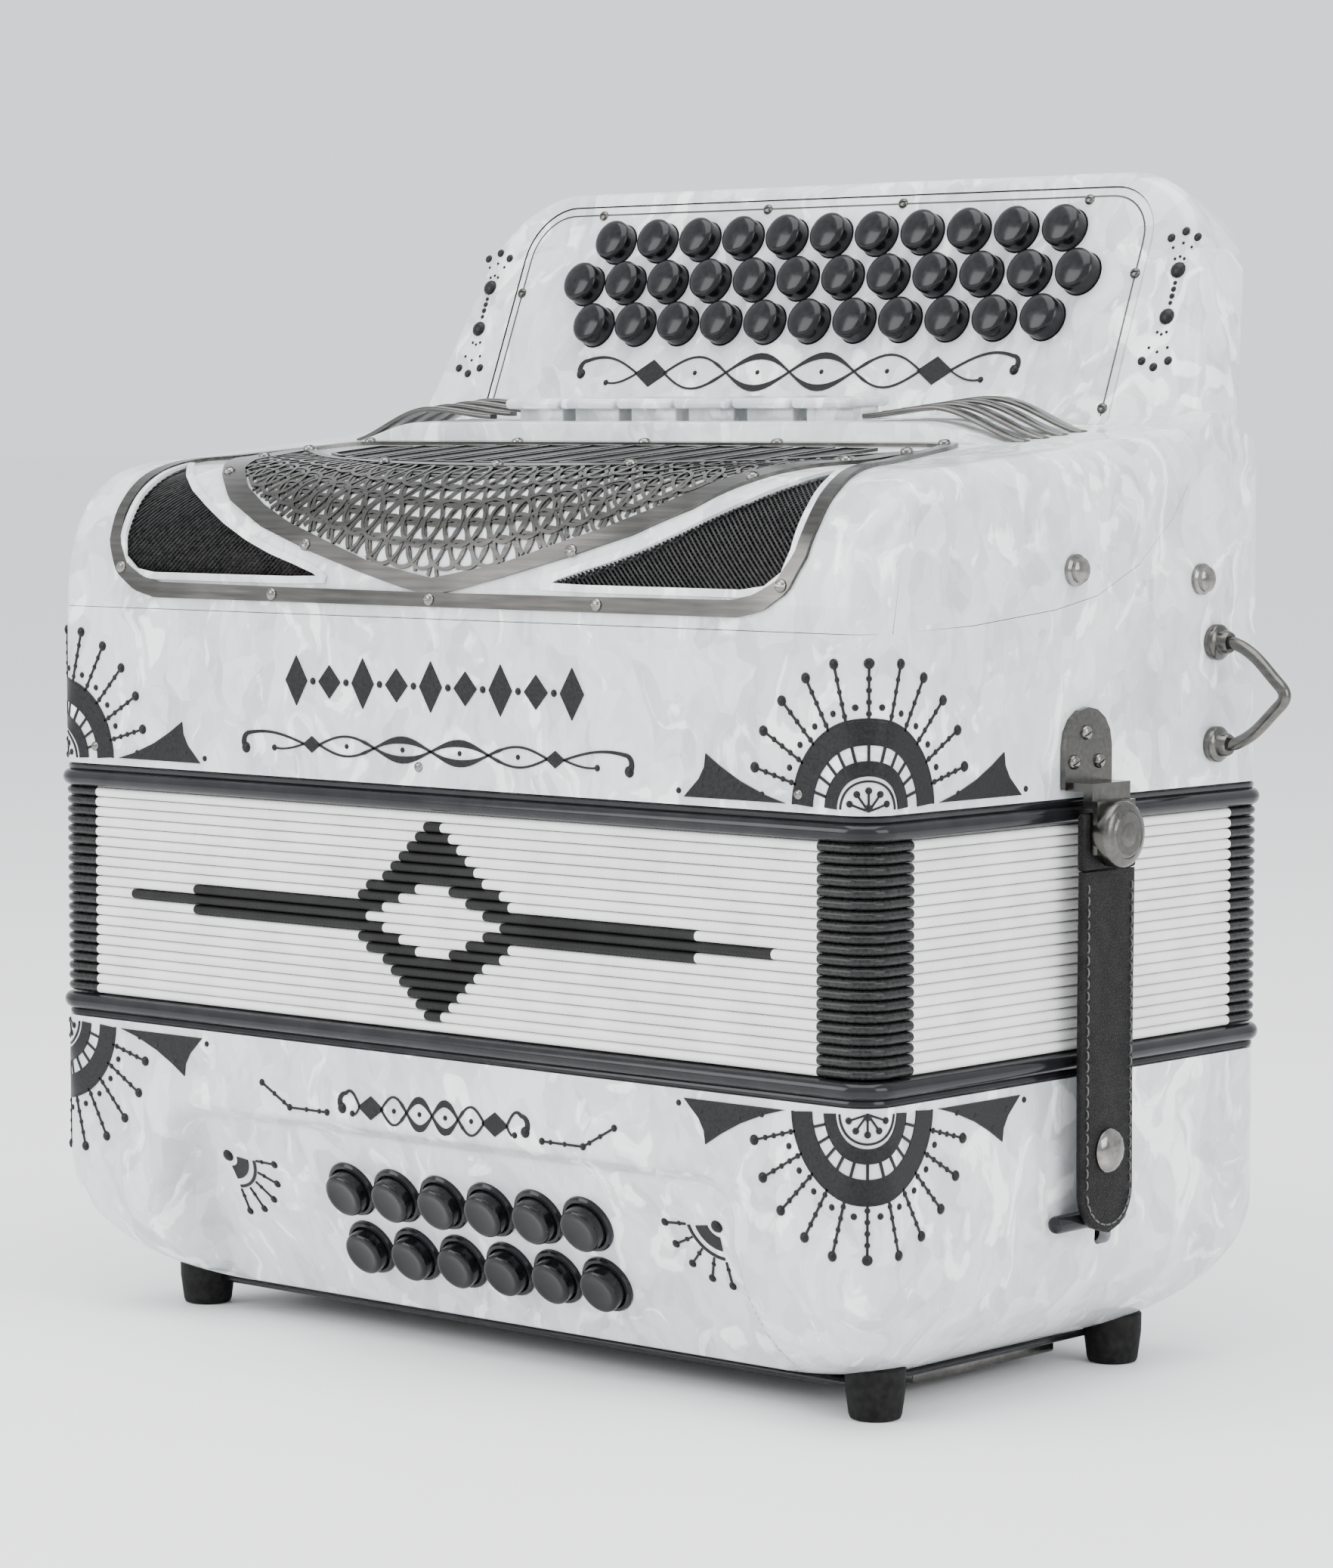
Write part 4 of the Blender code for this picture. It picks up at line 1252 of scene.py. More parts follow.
    def build_ornaments(self, shop: Workshop, scatter: Scatter) -> None:
        """Rosettes on both corners, quarter fans on the panel and a studded line above it.

        Args:
            shop: Workshop that finishes the pieces.
            scatter: Tree that sets small copies on points.
        """
        work = Inlay()
        for side in (-1, 1):
            sunburst(work, CornerWrap(side), 92.2, -1)
        front = Plane(Vector((0, -self.half_d, 0)), Vector((0, 0, 1)))
        scroll(work, front, 0.0, 76.5, 34.0, 10.0)
        for side in (-1, 1):
            line = [(side * 44, 73.5), (side * 60, 73.5), (side * 72, 80.0)]
            for a, b in zip(line, line[1:]):
                work.chain(front, a, b, 2, 0.8, 1.1)
            work.dot(front, side * 44, 73.5, 1.1)
        face = self.face()
        for side in (-1, 1):
            cx, cs = side * 100.0, -17.5
            for r, w in ((6.0, 4.6), (11.0, 1.0)):
                angles = [math.radians(4 + 82 * i / 12) for i in range(13)]
                work.band(face, [(cx - side * r * math.cos(a), cs - r * math.sin(a)) for a in angles], w)
            work.dot(face, cx, cs, 2.0)
            for i in range(5):
                a = math.radians(3 + 21 * i)
                d = Vector((-side * math.cos(a), -math.sin(a)))
                start, end = Vector((cx, cs)) + d * 12, Vector((cx, cs)) + d * 20
                work.chain(face, start, end, 1, 0.8, 1.3)
        work.publish("bass_inlay", shop, scatter, "bass")

    def build(self, shop: Workshop, scatter: Scatter) -> None:
        """Everything on the bass side.

        Args:
            shop: Workshop that finishes the pieces.
            scatter: Tree that sets small copies on points.
        """
        self.build_casing(shop)
        self.build_buttons(shop)
        self.build_base(shop)
        self.build_hand_strap(shop, scatter)
        self.build_lever(shop)
        self.build_ornaments(shop, scatter)


def stitch_form() -> bmesh.types.BMesh:
    """One stitch, a thread pulled into the leather at both ends."""
    half = [(-1.25, 0, -0.35), (-0.9, 0, 0.12), (-0.3, 0, 0.26)]
    return tube(half + [(-x, y, z) for x, y, z in reversed(half)], 0.26, 6)


@dataclass
class Bellows:
    """Folded wall between the two frames, with the pattern worked in the tape of the folds."""

    z0: float = 101.3
    z1: float = 166.0
    half_w: float = 165.3
    half_d: float = 93.6
    corner: float = 9.5
    folds: int = 21
    depth: float = 11.0
    wall: float = 1.2
    black_corner: float = 19.0
    step: float = 3.4
    bar: float = 102.0
    tip: float = 130.0

    def _profile(self) -> list[tuple[float, float, int]]:
        """(inset, z, fold) down the outside, with a round bead on the edge of each fold.

        Returns:
            Points of the outside, from the bottom up.
        """
        pitch = (self.z1 - self.z0) / self.folds
        bead = pitch * 0.46
        out = []
        for k in range(self.folds):
            mid = self.z0 + pitch * (k + 0.5)
            out.append((self.depth, mid - pitch * 0.5, k))
            for a in (-75, -45, -15, 15, 45, 75):
                out.append((bead * (1 - math.cos(math.radians(a))), mid + bead * math.sin(math.radians(a)), k))
        out.append((self.depth, self.z1, self.folds - 1))
        return out

    def _breaks(self) -> list[float]:
        """x of every step of the front pattern.

        Returns:
            Places in growing order.
        """
        marks = {self.half_w - self.black_corner, self.bar, self.tip}
        marks |= {self.step * i for i in range(12)}
        return sorted({s * m for m in marks for s in (-1, 1)})

    def _outline(self, inset: float) -> list[tuple[float, float]]:
        """Plan of the wall at an inset, with points on every pattern step.

        Args:
            inset: Distance in from the edge of the folds.

        Returns:
            Points round the wall.
        """
        hx, hy, r = self.half_w - inset, self.half_d - inset, max(1.5, self.corner - inset * 0.6)
        pts = rounded_rect(hx, hy, r, 8)
        reach = self.half_d - self.black_corner
        ends = [reach * t for t in (-1, -0.5, 0, 0.5, 1)]
        front = [(x, -hy) for x in self._breaks()]
        right = [(hx, y) for y in ends]
        back = [(-x, hy) for x, _ in front]
        left = [(-hx, -y) for y in ends]
        return pts[:9] + back + pts[9:18] + left + pts[18:27] + front + pts[27:] + right

    def _black(self, x: float, y: float, fold: int) -> bool:
        """Whether the tape at a place is black in the pattern.

        Args:
            x: Place along x.
            y: Place along y.
            fold: Number of the fold from the bottom.

        Returns:
            True for black tape.
        """
        if y > -self.half_d + 14:
            return False
        level = abs(fold - (self.folds - 1) / 2)
        diamond = self.step * (11 - 1.15 * level) if level < 9.5 else 0.0
        middle = self.step * (8 - 2.1 * level) if level <= 3.6 else 0.0
        line = self.tip if level < 0.6 else self.bar if level <= 1.2 else 0.0
        return middle < abs(x) < max(diamond, line)

    def build(self, shop: Workshop) -> None:
        """One closed folded wall between both frames, baked in place.

        Args:
            shop: Workshop that finishes the pieces.
        """
        profile = self._profile()
        outer = [[Vector((x, y, z)) for x, y in self._outline(inset)] for inset, z, _ in profile]
        inner = [[Vector((x, y, z)) for x, y in self._outline(inset + self.wall)] for inset, z, _ in
                 reversed(profile[::7] + [profile[-1]])]
        bm = loft(outer + inner, True)
        for item in bm.faces:
            c = item.calc_center_median()
            fold = min(self.folds - 1, max(0, int((c.z - self.z0) / (self.z1 - self.z0) * self.folds)))
            near_x = abs(c.x) > self.half_w - self.black_corner - 0.01
            near_y = abs(c.y) > self.half_d - self.black_corner - 0.01
            if near_x and near_y:
                item.material_index = 2
            elif self._black(c.x, c.y, fold):
                item.material_index = 1
        wall = shop.publish("bellows_folds", bm, Finish.TAPE, None, ["bellows"], sharp=50,
                            extra=(Finish.TAPE_BLACK, Finish.CORNER))
        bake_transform(wall)


@dataclass
class BellowsFrame:
    """Flange and round rod that hold an end of the bellows."""

    name: str
    node: str
    body: str
    z0: float
    flip: bool
    height: float = 7.6
    rod_r: float = 2.6
    rod_out: float = -0.8

    def build(self, shop: Workshop) -> None:
        """Ring of constant section, flange toward the casing.

        Args:
            shop: Workshop that finishes the pieces.
        """
        angles = [math.radians(a) for a in range(-60, 100, 12)]
        rod = [(self.rod_out + self.rod_r * math.cos(a), 4.7 + self.rod_r * math.sin(a)) for a in angles]
        section = [(-13.8, 0.3), (-0.5, 0.3), (0.0, 0.7), (0.0, 1.7), (-0.4, 2.2)] + rod + [(-13.8, 7.3)]
        rings = []
        for off, h in section:
            z = self.z0 + (self.height - h if self.flip else h)
            plan = rounded_rect(HALF_W + off, HALF_D + off, max(1.5, CORNER_R + off), 12)
            rings.append([Vector((x, y, z)) for x, y in plan])
        shop.publish(self.name, loft(rings, True), Finish.LACQUER, self.body, [self.node], sharp=40)


@dataclass(frozen=True)
class CoverSurface(Surface):
    """Rolled front of the grille cover: u along x, v is the length along its section from the lower edge."""

    section: tuple[tuple[float, float], ...] = (
        (-93.3, 222.6), (-92.8, 232.0), (-91.2, 241.0), (-87.6, 250.0), (-81.5, 258.0), (-73.0, 263.6),
        (-62.0, 266.6), (-45.0, 268.0), (2.0, 272.6))
    knots: tuple[float, ...] = (0.0, 9.4, 18.6, 28.2, 38.3, 48.5, 59.9, 76.9, 124.2)
    half_w: float = HALF_W
    round_r: float = CORNER_R

    def fine(self, v: float) -> Vector:
        """Point (y, z) of the section at length v.

        Args:
            v: Length along the section from its lower edge.

        Returns:
            The point (y, z).
        """
        i = max(0, min(len(self.knots) - 2, sum(1 for k in self.knots if k <= v) - 1))
        t = (v - self.knots[i]) / (self.knots[i + 1] - self.knots[i])
        pts = [Vector(p) for p in self.section]
        before = pts[i - 1] if i else 2 * pts[0] - pts[1]
        after = pts[i + 2] if i + 2 < len(pts) else 2 * pts[-1] - pts[-2]
        b, c = pts[i], pts[i + 1]
        if not 0 <= t <= 1:
            return b.lerp(c, t)
        k = self.knots
        span = k[i + 1] - k[i]
        lead = (c - before) / (span + (k[i] - k[i - 1] if i else span)) * span
        trail = (after - b) / (span + (k[i + 2] - k[i + 1] if i + 2 < len(k) else span)) * span
        return (b * (2 * t ** 3 - 3 * t ** 2 + 1) + lead * (t ** 3 - 2 * t ** 2 + t)
                + c * (3 * t ** 2 - 2 * t ** 3) + trail * (t ** 3 - t ** 2))

    def at(self, u: float, v: float, lift: float = 0.0) -> Vector:
        """Point in the drawing at (u, v), lifted off the surface.

        Args:
            u: Place along x.
            v: Length along the section.
            lift: Height off the surface in millimetres.

        Returns:
            The point in the drawing.
        """
        p = self.fine(v)
        ahead = (self.fine(v + 0.2) - self.fine(v - 0.2)).normalized()
        over = max(0.0, abs(u) - self.half_w + self.round_r) / self.round_r
        drop = self.round_r * (1 - math.sqrt(max(0.0, 1 - over * over)))
        return Vector((u, p.x - ahead.y * (lift - drop), p.y + ahead.x * (lift - drop)))


def resampled(path: Sequence[Point], count: int) -> list[Vector]:
    """Points spread evenly by length along a path.

    Args:
        path: Points along the path.
        count: Number of points.

    Returns:
        The points.
    """
    pts = [Vector(p[:2]) for p in path]
    run = [0.0]
    for a, b in zip(pts, pts[1:]):
        run.append(run[-1] + (b - a).length)
    out = []
    for i in range(count):
        want = run[-1] * i / (count - 1)
        k = max(0, min(len(pts) - 2, sum(1 for r in run if r <= want) - 1))
        out.append(pts[k].lerp(pts[k + 1], (want - run[k]) / (run[k + 1] - run[k])))
    return out


def inside(p: Point, outline: Sequence[Point]) -> bool:
    """Whether a flat point lies in an outline.

    Args:
        p: Flat point.
        outline: Closed outline.

    Returns:
        True if it does.
    """
    hit = False
    for a, b in zip(outline, [*outline[1:], outline[0]]):
        if (a[1] > p[1]) != (b[1] > p[1]) and p[0] < (b[0] - a[0]) * (p[1] - a[1]) / (b[1] - a[1]) + a[0]:
            hit = not hit
    return hit


def clipped(path: Sequence[Point], outline: Sequence[Point], least: int = 3) -> list[list[Point]]:
    """Stretches of a path that lie in an outline, each of at least so many points.

    Args:
        path: Points along the path.
        outline: Closed outline.
        least: Fewest points of a stretch that is kept.

    Returns:
        The stretches in order.
    """
    runs: list[list[Point]] = [[]]
    for p in path:
        if inside(p, outline):
            runs[-1].append(p)
        elif runs[-1]:
            runs.append([])
    return [run for run in runs if len(run) >= least]


def mirror_path(path: Sequence[Point]) -> list[tuple[float, float]]:
    """Path with u turned round."""
    return [(-p[0], p[1]) for p in path]


def inset(outline: Sequence[Point], d: float) -> list[tuple[float, float]]:
    """Counter-clockwise outline moved inward by d, corners mitred.

    Args:
        outline: Counter-clockwise outline.
        d: Distance inward; negative grows it.

    Returns:
        The new outline.
    """
    pts = [Vector(p[:2]) for p in outline]
    out = []
    for i, p in enumerate(pts):
        a, b = (p - pts[i - 1]).normalized(), (pts[(i + 1) % len(pts)] - p).normalized()
        na, nb = Vector((-a.y, a.x)), Vector((-b.y, b.x))
        m = (na + nb).normalized()
        out.append(tuple(p + m * (d / max(0.5, m.dot(na)))))
    return out


@dataclass
class TrebleSide:
    """Upper casing with the grille cover, keyboard, registers and inner action."""

    half_w: float = HALF_W
    half_d: float = HALF_D
    corner: float = CORNER_R
    wall: float = 4.0
    z0: float = 173.3
    slab_t: float = 27.0
    plate_t: float = 2.8
    button_r: float = 6.8
    pitch: float = 18.35
    row_x: float = 4.6
    rows: tuple[tuple[int, float], ...] = ((11, 1.7), (12, -12.9), (11, -27.6))
    tabs: int = 6
    tab_pitch: float = 23.6
    seam: tuple[tuple[float, float], ...] = (
        (-93.5, 222.2), (-49.0, 223.4), (-11.3, 226.7), (8.3, 230.2), (28.3, 238.6), (44.5, 251.5),
        (52.7, 262.2), (57.8, 277.0))
    window: tuple[tuple[float, float], ...] = (
        (44.0, 10.2), (60.0, 9.8), (90.0, 9.8), (119.0, 9.8), (127.5, 11.0), (133.5, 15.2), (135.6, 22.0),
        (135.8, 36.0), (134.5, 48.0), (132.0, 57.0), (122.0, 46.3), (112.8, 39.2), (102.8, 33.4),
        (91.5, 27.4), (79.5, 22.3), (68.5, 18.5), (56.9, 15.4), (48.5, 12.9))

    def key(self) -> Plane:
        """Keyboard plane; v runs up its slope."""
        return Plane(Vector((0, 84.5, 336.0)), Vector((0, 0.4, 1)).normalized())

    def slab_outline(self) -> list[tuple[float, float]]:
        """Outline of the keyboard slab, counter-clockwise."""
        right = arc(150.5, -55.5, 7.5, -90, 0, 8) + arc(112.0, -14.0, 36.0, 12, 90, 18)
        return right + mirror_path(right)[::-1]

    def plate_outline(self, grow: float = 0.0) -> list[tuple[float, float]]:
        """Outline of the button plate, counter-clockwise.

        Args:
            grow: Distance outward from the plate's edge.

        Returns:
            Points of the outline.
        """
        r = 18.0
        right = [(128.5, -62.0)] + arc(128.5 - r, 15.5 - r, r, 0, 90, 12)
        return inset(right + mirror_path(right)[::-1], -grow)

    def on_key(self, outline: Sequence[Point], n: float) -> Ring:
        """Outline laid on the keyboard plane at a height."""
        face = self.key()
        return [face.at(p[0], p[1], n) for p in outline]

    def build_casing(self, shop: Workshop) -> None:
        """Hollow box with the rounded keyboard slab leaning on its rear half.

        Args:
            shop: Workshop that finishes the pieces.
        """
        face = self.key()
        ledge = face.at(0, -57.0, -1.5)
        drop = (self.half_d - face.at(0, -57.0).y) * 0.4
        side = [(-self.half_d, self.z0), *self.seam, (ledge.y, ledge.z),
                (self.half_d, face.at(0, -57.0).z - drop), (self.half_d, self.z0)]
        box = prism(side, "x", -self.half_w, self.half_w)
        plan = prism(rounded_rect(self.half_w, self.half_d, self.corner, 14), "z", self.z0 - 20, 340)
        slab = loft([self.on_key(inset(self.slab_outline(), r), n) for r, n in self._rounding(5.0, 4.0)])
        front, rear, x = -self.half_d + self.wall, self.half_d - self.wall, self.half_w - self.wall
        air = prism([(front, 160), (front, 300), (50, 300), (50, 262), (rear, 262), (rear, 160)], "x", -x, x)
        lever = [(-122, -58), (122, -58), (122, 10.5), (-122, 10.5)]
        levers = loft([self.on_key(lever, n) for n in (3.5 - self.slab_t, 1)])
        channel = prism([(66, 250), (66, 285), (84, 278), (84, 250)], "x", -118, 118)
        seat = loft([self.on_key(self.plate_outline(0.2), n) for n in (-self.plate_t - 0.2, 20)])
        body = combine(box, ("INTERSECT", plan), ("UNION", slab), ("DIFFERENCE", air), ("DIFFERENCE", levers),
                       ("DIFFERENCE", channel), ("DIFFERENCE", seat))
        shop.publish("treble_shell", body, Finish.PEARL, "treble", ["treble_casing"], sharp=36)

    def _rounding(self, front_r: float, rear_r: float) -> list[tuple[float, float]]:
        """(inset, height) through the slab, rounded on both faces.

        Args:
            front_r: Radius of the front edge.
            rear_r: Radius of the rear edge.

        Returns:
            The steps, from rear to front.
        """
        out = []
        for a in range(0, 91, 15):
            c, s = math.cos(math.radians(a)), math.sin(math.radians(a))
            out.append((rear_r * (1 - s), -self.slab_t + rear_r * (1 - c)))
        for a in range(90, -1, -15):
            c, s = math.cos(math.radians(a)), math.sin(math.radians(a))
            out.append((front_r * (1 - s), -front_r * (1 - c)))
        return out

    def build_keyboard(self, shop: Workshop) -> None:
        """Button plate with bevelled rim, and 34 domed buttons.

        Args:
            shop: Workshop that finishes the pieces.
        """
        places = [(self.row_x + (i - (n - 1) / 2) * self.pitch, s) for n, s in self.rows for i in range(n)]
        face = self.key()
        rings = [(0.0, -self.plate_t), (0.0, -0.5), (0.5, 0.0)]
        plate = loft([self.on_key(inset(self.plate_outline(), d), n) for d, n in rings])
        holes = bmesh.new()
        hole = [(self.button_r + 0.4, 0), (self.button_r + 0.4, 18)]
        for x, s in places:
            turned(face.at(x, s, -9), face.out(x, s), hole, 32, holes)
        plate = combine(plate, ("DIFFERENCE", holes))
        shop.publish("button_plate", plate, Finish.PEARL, "treble", ["fingerboard"], sharp=36)
        r = self.button_r
        cap = [(r, -2.5), (r, 4.3), (r - 0.25, 4.9), (r - 0.9, 5.5), (r - 1.9, 5.9), (r - 3.6, 6.25), (0, 6.4)]
        for i, (x, s) in enumerate(places, 1):
            shop.publish(f"button_cap_{i:02d}", turned(face.at(x, s), face.out(x, s), cap, 36), Finish.BUTTON,
                         f"key_{i:02d}", [f"treble_button_{i:02d}"], sharp=50)

    def dress_keyboard(self, shop: Workshop, scatter: Scatter) -> None:
        """Line round the plate, flourish below the buttons, studded columns beside them, and screws.

        Args:
            shop: Workshop that finishes the pieces.
            scatter: Tree that sets small copies on points.
        """
        face = self.key()
        groove = Inlay()
        groove.band(face, resampled(inset(self.plate_outline(), 3.0), 160), 0.5, high=0.12)
        shop.publish("plate_edge_line", groove.bm, Finish.NICKEL, "treble", sharp=30)
        work = Inlay()
        scroll(work, face, 0.0, -44.0, 85.0, 13.0)
        for side in (-1, 1):
            for s, rad in ((-12.5, 2.6), (-27.4, 2.6), (-16.6, 0.7), (-18.6, 0.9), (-20.8, 0.9), (-23.0, 0.7)):
                work.dot(face, side * 141.0, s, rad)
            for s, base, sign in ((-2.0, -12.5, 1), (-41.5, -27.4, -1)):
                for k in (-1, 0, 1):
                    top = s + (1 - abs(k)) * 2.0 * sign
                    work.dot(face, side * (140.5 + 4.8 * k), top, 1.4)
                    for q in (0.35, 0.7):
                        work.dot(face, side * (140.5 + 4.8 * k * q), base + (top - base) * q, 0.5)
        work.publish("keyboard_inlay", shop, scatter, "treble")
        screws = [(-97.7, 12.2), (-26.6, 12.3), (28.9, 12.6), (101.7, 11.5), (-125.5, -14.8),
                  (125.5, -13.2), (125.5, -56.6), (-125.5, -56.6)]
        spots = [(face.at(u, v, 0.1), face.out(u, v), Vector((1, 0.3 * (i % 3 - 1), 0.2)), 1.7)
                 for i, (u, v) in enumerate(screws)]
        scatter.build("plate_screws", spots, screw_form(), Finish.NICKEL, "treble")

    def build_cover(self, shop: Workshop) -> None:
        """Rolled cover with its register board, hollow inside and open at both sound windows.

        Args:
            shop: Workshop that finishes the pieces.
        """
        cover = CoverSurface()
        stations = [124.2 * i / 60 for i in range(61)]
        turn = [self.corner * math.sin(math.radians(a)) for a in (0, 20, 38, 54, 67, 78, 86)]
        xs = [self.half_w - self.corner + t for t in turn]
        xs = [-x for x in reversed(xs)] + xs
        rings = []
        for x in xs:
            over = max(0.0, abs(x) - self.half_w + self.corner)
            drop = self.corner - math.sqrt(max(0.0, self.corner ** 2 - over ** 2))
            top = [cover.at(x, v) for v in stations]
            deck = [Vector((x, 4.0, 272.9 - drop)), Vector((x, 56.8, 278.2 - drop))]
            under = [Vector((x, y, z + 0.2)) for y, z in reversed(self.seam[:-1])]
            under[-1].y += drop
            rings.append(top + deck + under)
        body = loft(rings)
        board = []
        for i in range(97):
            x = -143 + 286 * i / 96
            t = smoothstep((141.0 - abs(x)) / 40.0)
            a, b = 271.5 + 8.0 * t, 276.4 + 5.2 * t
            section = ((4.2, 268.0), (4.2, a - 1.0), (4.6, a - 0.3), (5.4, a), (51.0, b), (52.0, b - 0.9),
                       (52.0, 271.0))
            board.append([Vector((x, y, z)) for y, z in section])
        hollow = [cover.at(0, v, -3.0) for v in stations]
        hollow = [(p.y, p.z) for p in hollow] + [(4.0, 269.4), (50.0, 273.2), (50.0, 200.0), (-90.3, 200.0)]
        room = prism(hollow, "x", -self.half_w + self.wall, self.half_w - self.wall)
        slot = prism([(-73.0, 14.0), (73.0, 14.0), (73.0, 31.0), (-73.0, 31.0)], "z", 260, 300)
        body = combine(body, ("UNION", loft(board)), ("DIFFERENCE", room), ("DIFFERENCE", slot),
                       ("DIFFERENCE", self._window_tool(1)), ("DIFFERENCE", self._window_tool(-1)))
        shop.publish("cover_shell", body, Finish.PEARL, "treble", ["grille_cover"], sharp=38)

    def _window_tool(self, side: int) -> bmesh.types.BMesh:
        """Cutter for a sound window, aimed half way between front and top.

        Args:
            side: 1 for the right end, -1 for the left.

        Returns:
            The closed mesh.
        """
        cover = CoverSurface()
        aim = Vector((0, -1, 1)).normalized()
        edge = [cover.at(side * u, v) for u, v in self.window]
        level = max(p.dot(aim) for p in edge)
        return loft([[p + aim * (level + shift - p.dot(aim)) for p in edge] for shift in (-34.0, 8.0)])

    def build_grille(self, shop: Workshop) -> None:
        """Nickel frame, swept bands and interlaced rings over the cover, and the panels behind them.

        Args:
            shop: Workshop that finishes the pieces.
        """
        cover = CoverSurface()
        metal, rims, cloth = Inlay(), Inlay(), Inlay()
        outer = [(0, 3.2), (60, 3.2), (118, 3.2), (127, 5.2), (135.6, 10.5), (140.6, 19.9), (141.8, 30),
                 (141.5, 44), (137.5, 66), (131, 92), (126, 112), (121.5, 122.5), (115, 124), (60, 124),
                 (0, 124)]
        inner = [(0, 7.4), (60, 7.6), (116, 8.0), (123.6, 9.5), (131.4, 13.4), (136.4, 21), (137.4, 30),
                 (137.0, 43), (133.0, 65), (126.8, 91), (122, 109), (118.5, 118), (113, 119.8), (60, 119.8),
                 (0, 119.8)]
        v_low = [(0, 6.6), (12, 8.6), (29.5, 12.7), (52, 18.5), (75.6, 25.7), (94, 34.6), (107, 46.2),
                 (115, 55.3), (121.5, 66), (125.5, 80), (126, 100)]
        v_high = [(0, 11.6), (10, 13.2), (26, 15.9), (43.9, 21.2), (63.7, 27.2), (77.8, 33.1), (90.4, 40.4),
                  (101.7, 51.3), (108, 62), (114.5, 78), (119.5, 100)]
        for side in (1, -1):
            flip = (lambda path: path) if side > 0 else mirror_path
            self._between(metal, cover, flip(outer), flip(inner), 150, 1.15)
            self._between(metal, cover, flip(v_low), flip(v_high), 60, 1.1)
            rims.band(cover, resampled(flip(self.window + self.window[:1]), 130), 2.2, high=0.8)
        border = smooth_line([(0, 57), (26, 57.6), (50, 60), (76, 68), (100, 82), (121, 98)], 8)
        for path in (border, mirror_path(border)):
            metal.band(cover, path, 3.0, high=1.1)
        edge = v_high[:-1] + [tuple(p) for p in border[::-1]]
        self._lattice(metal, cover, edge + mirror_path(edge)[::-1])
        for k in range(-6, 6):
            us = [17.2 * k + 2.2 + 12.8 * q / 6 for q in range(7)]
            low = [(u, self._border_height(border, abs(u)) + 5.5) for u in us]
            high = [(u, 114.5 - 0.0005 * u * u) for u in us]
            cloth.patch(cover, low + high[::-1])
            metal.band(cover, low + high[::-1], 1.3, closed=True, high=0.9)
        shop.publish("grille_frame", metal.bm, Finish.NICKEL, "treble", ["grille_fretwork"], sharp=30)
        shop.publish("window_rims", rims.bm, Finish.PEARL, "treble", sharp=30)
        shop.publish("grille_cloth", cloth.bm, Finish.MESH, "treble", sharp=30)

    def _lattice(self, work: Inlay, on: Surface, room: Sequence[Point]) -> None:
        """Rows of overlapping rings, cut off at the edge of the room that they fill."""
        for row in range(13):
            for k in range(-14, 15):
                u = 8.6 * (k + 0.5 * (row % 2))
                loop = arc(u, 15.0 + 6.6 * row + 0.0027 * u * u, 7.4, 0, 360, 30)
                for run in clipped(loop, room, 3):
                    work.band(on, run, 1.15, high=0.6 + 0.18 * (row % 3))

    def build_window_wire(self, wires: WireCloth) -> None:
        """Two crossing layers of wire in each sound window.

        Args:
            wires: Tree that makes wire.
        """
        cover = CoverSurface()
        lines = []
        for side in (1, -1):
            edge = self.window if side > 0 else tuple(mirror_path(self.window))
            room = inset(edge if side > 0 else edge[::-1], -2.0)
            for k in range(-10, 130):
                start = side * (30 + 1.9 * k)
                for lean in (1, -1):
                    path = [(start + lean * side * 2.0 * i, 4.0 + 2.0 * i) for i in range(30)]
                    for run in clipped(path, room, 2):
                        lines.append([cover.at(u, v, -1.6 - 0.3 * lean) for u, v in run])
        wires.build("window_wire", lines, 0.36, Finish.MESH, "treble")

    def build_grille_screws(self, scatter: Scatter) -> None:
        """Screws along the frame and the swept bands.

        Args:
            scatter: Tree that sets small copies on points.
        """
        cover = CoverSurface()
        marks = [(65.9, 5.4), (-65.9, 5.4), (0, 5.4), (133.4, 12.2), (-133.4, 12.2), (54, 20.4), (-54, 20.4),
                 (106, 48.5), (-106, 48.5), (118, 75), (-118, 75), (121.5, 98), (-121.5, 98), (50, 60),
                 (-50, 60), (0, 57), (0, 122), (53, 122), (-53, 122), (117, 121), (-117, 121)]
        spots = [(cover.at(u, v, 1.1), cover.out(u, v), Vector((1, 0.4 * (i % 3 - 1), 0)), 1.9)
                 for i, (u, v) in enumerate(marks)]
        scatter.build("grille_screws", spots, screw_form(), Finish.BRIGHT, "treble")

    def _border_height(self, border: Sequence[Vector], u: float) -> float:
        """Height v of the lattice's upper border at u."""
        for a, b in zip(border, border[1:]):
            if a.x <= u <= b.x:
                return a.y + (b.y - a.y) * (u - a.x) / (b.x - a.x)
        return border[-1].y

    def _between(self, work: Inlay, on: Surface, a: Sequence[Point], b: Sequence[Point], count: int,
                 high: float) -> None:
        """Flat band between two edges, raised by high.

        Args:
            work: Metalwork that it is added to.
            on: Surface that it lies on.
            a: One edge.
            b: Other edge.
            count: Points along each edge.
            high: Height of its top off the surface.
        """
        rings = []
        for p, q in zip(resampled(a, count), resampled(b, count)):
            rings.append([on.at(p.x, p.y, Inlay.LOW), on.at(p.x, p.y, high), on.at(q.x, q.y, high),
                          on.at(q.x, q.y, Inlay.LOW)])
        loft(rings, bm=work.bm)

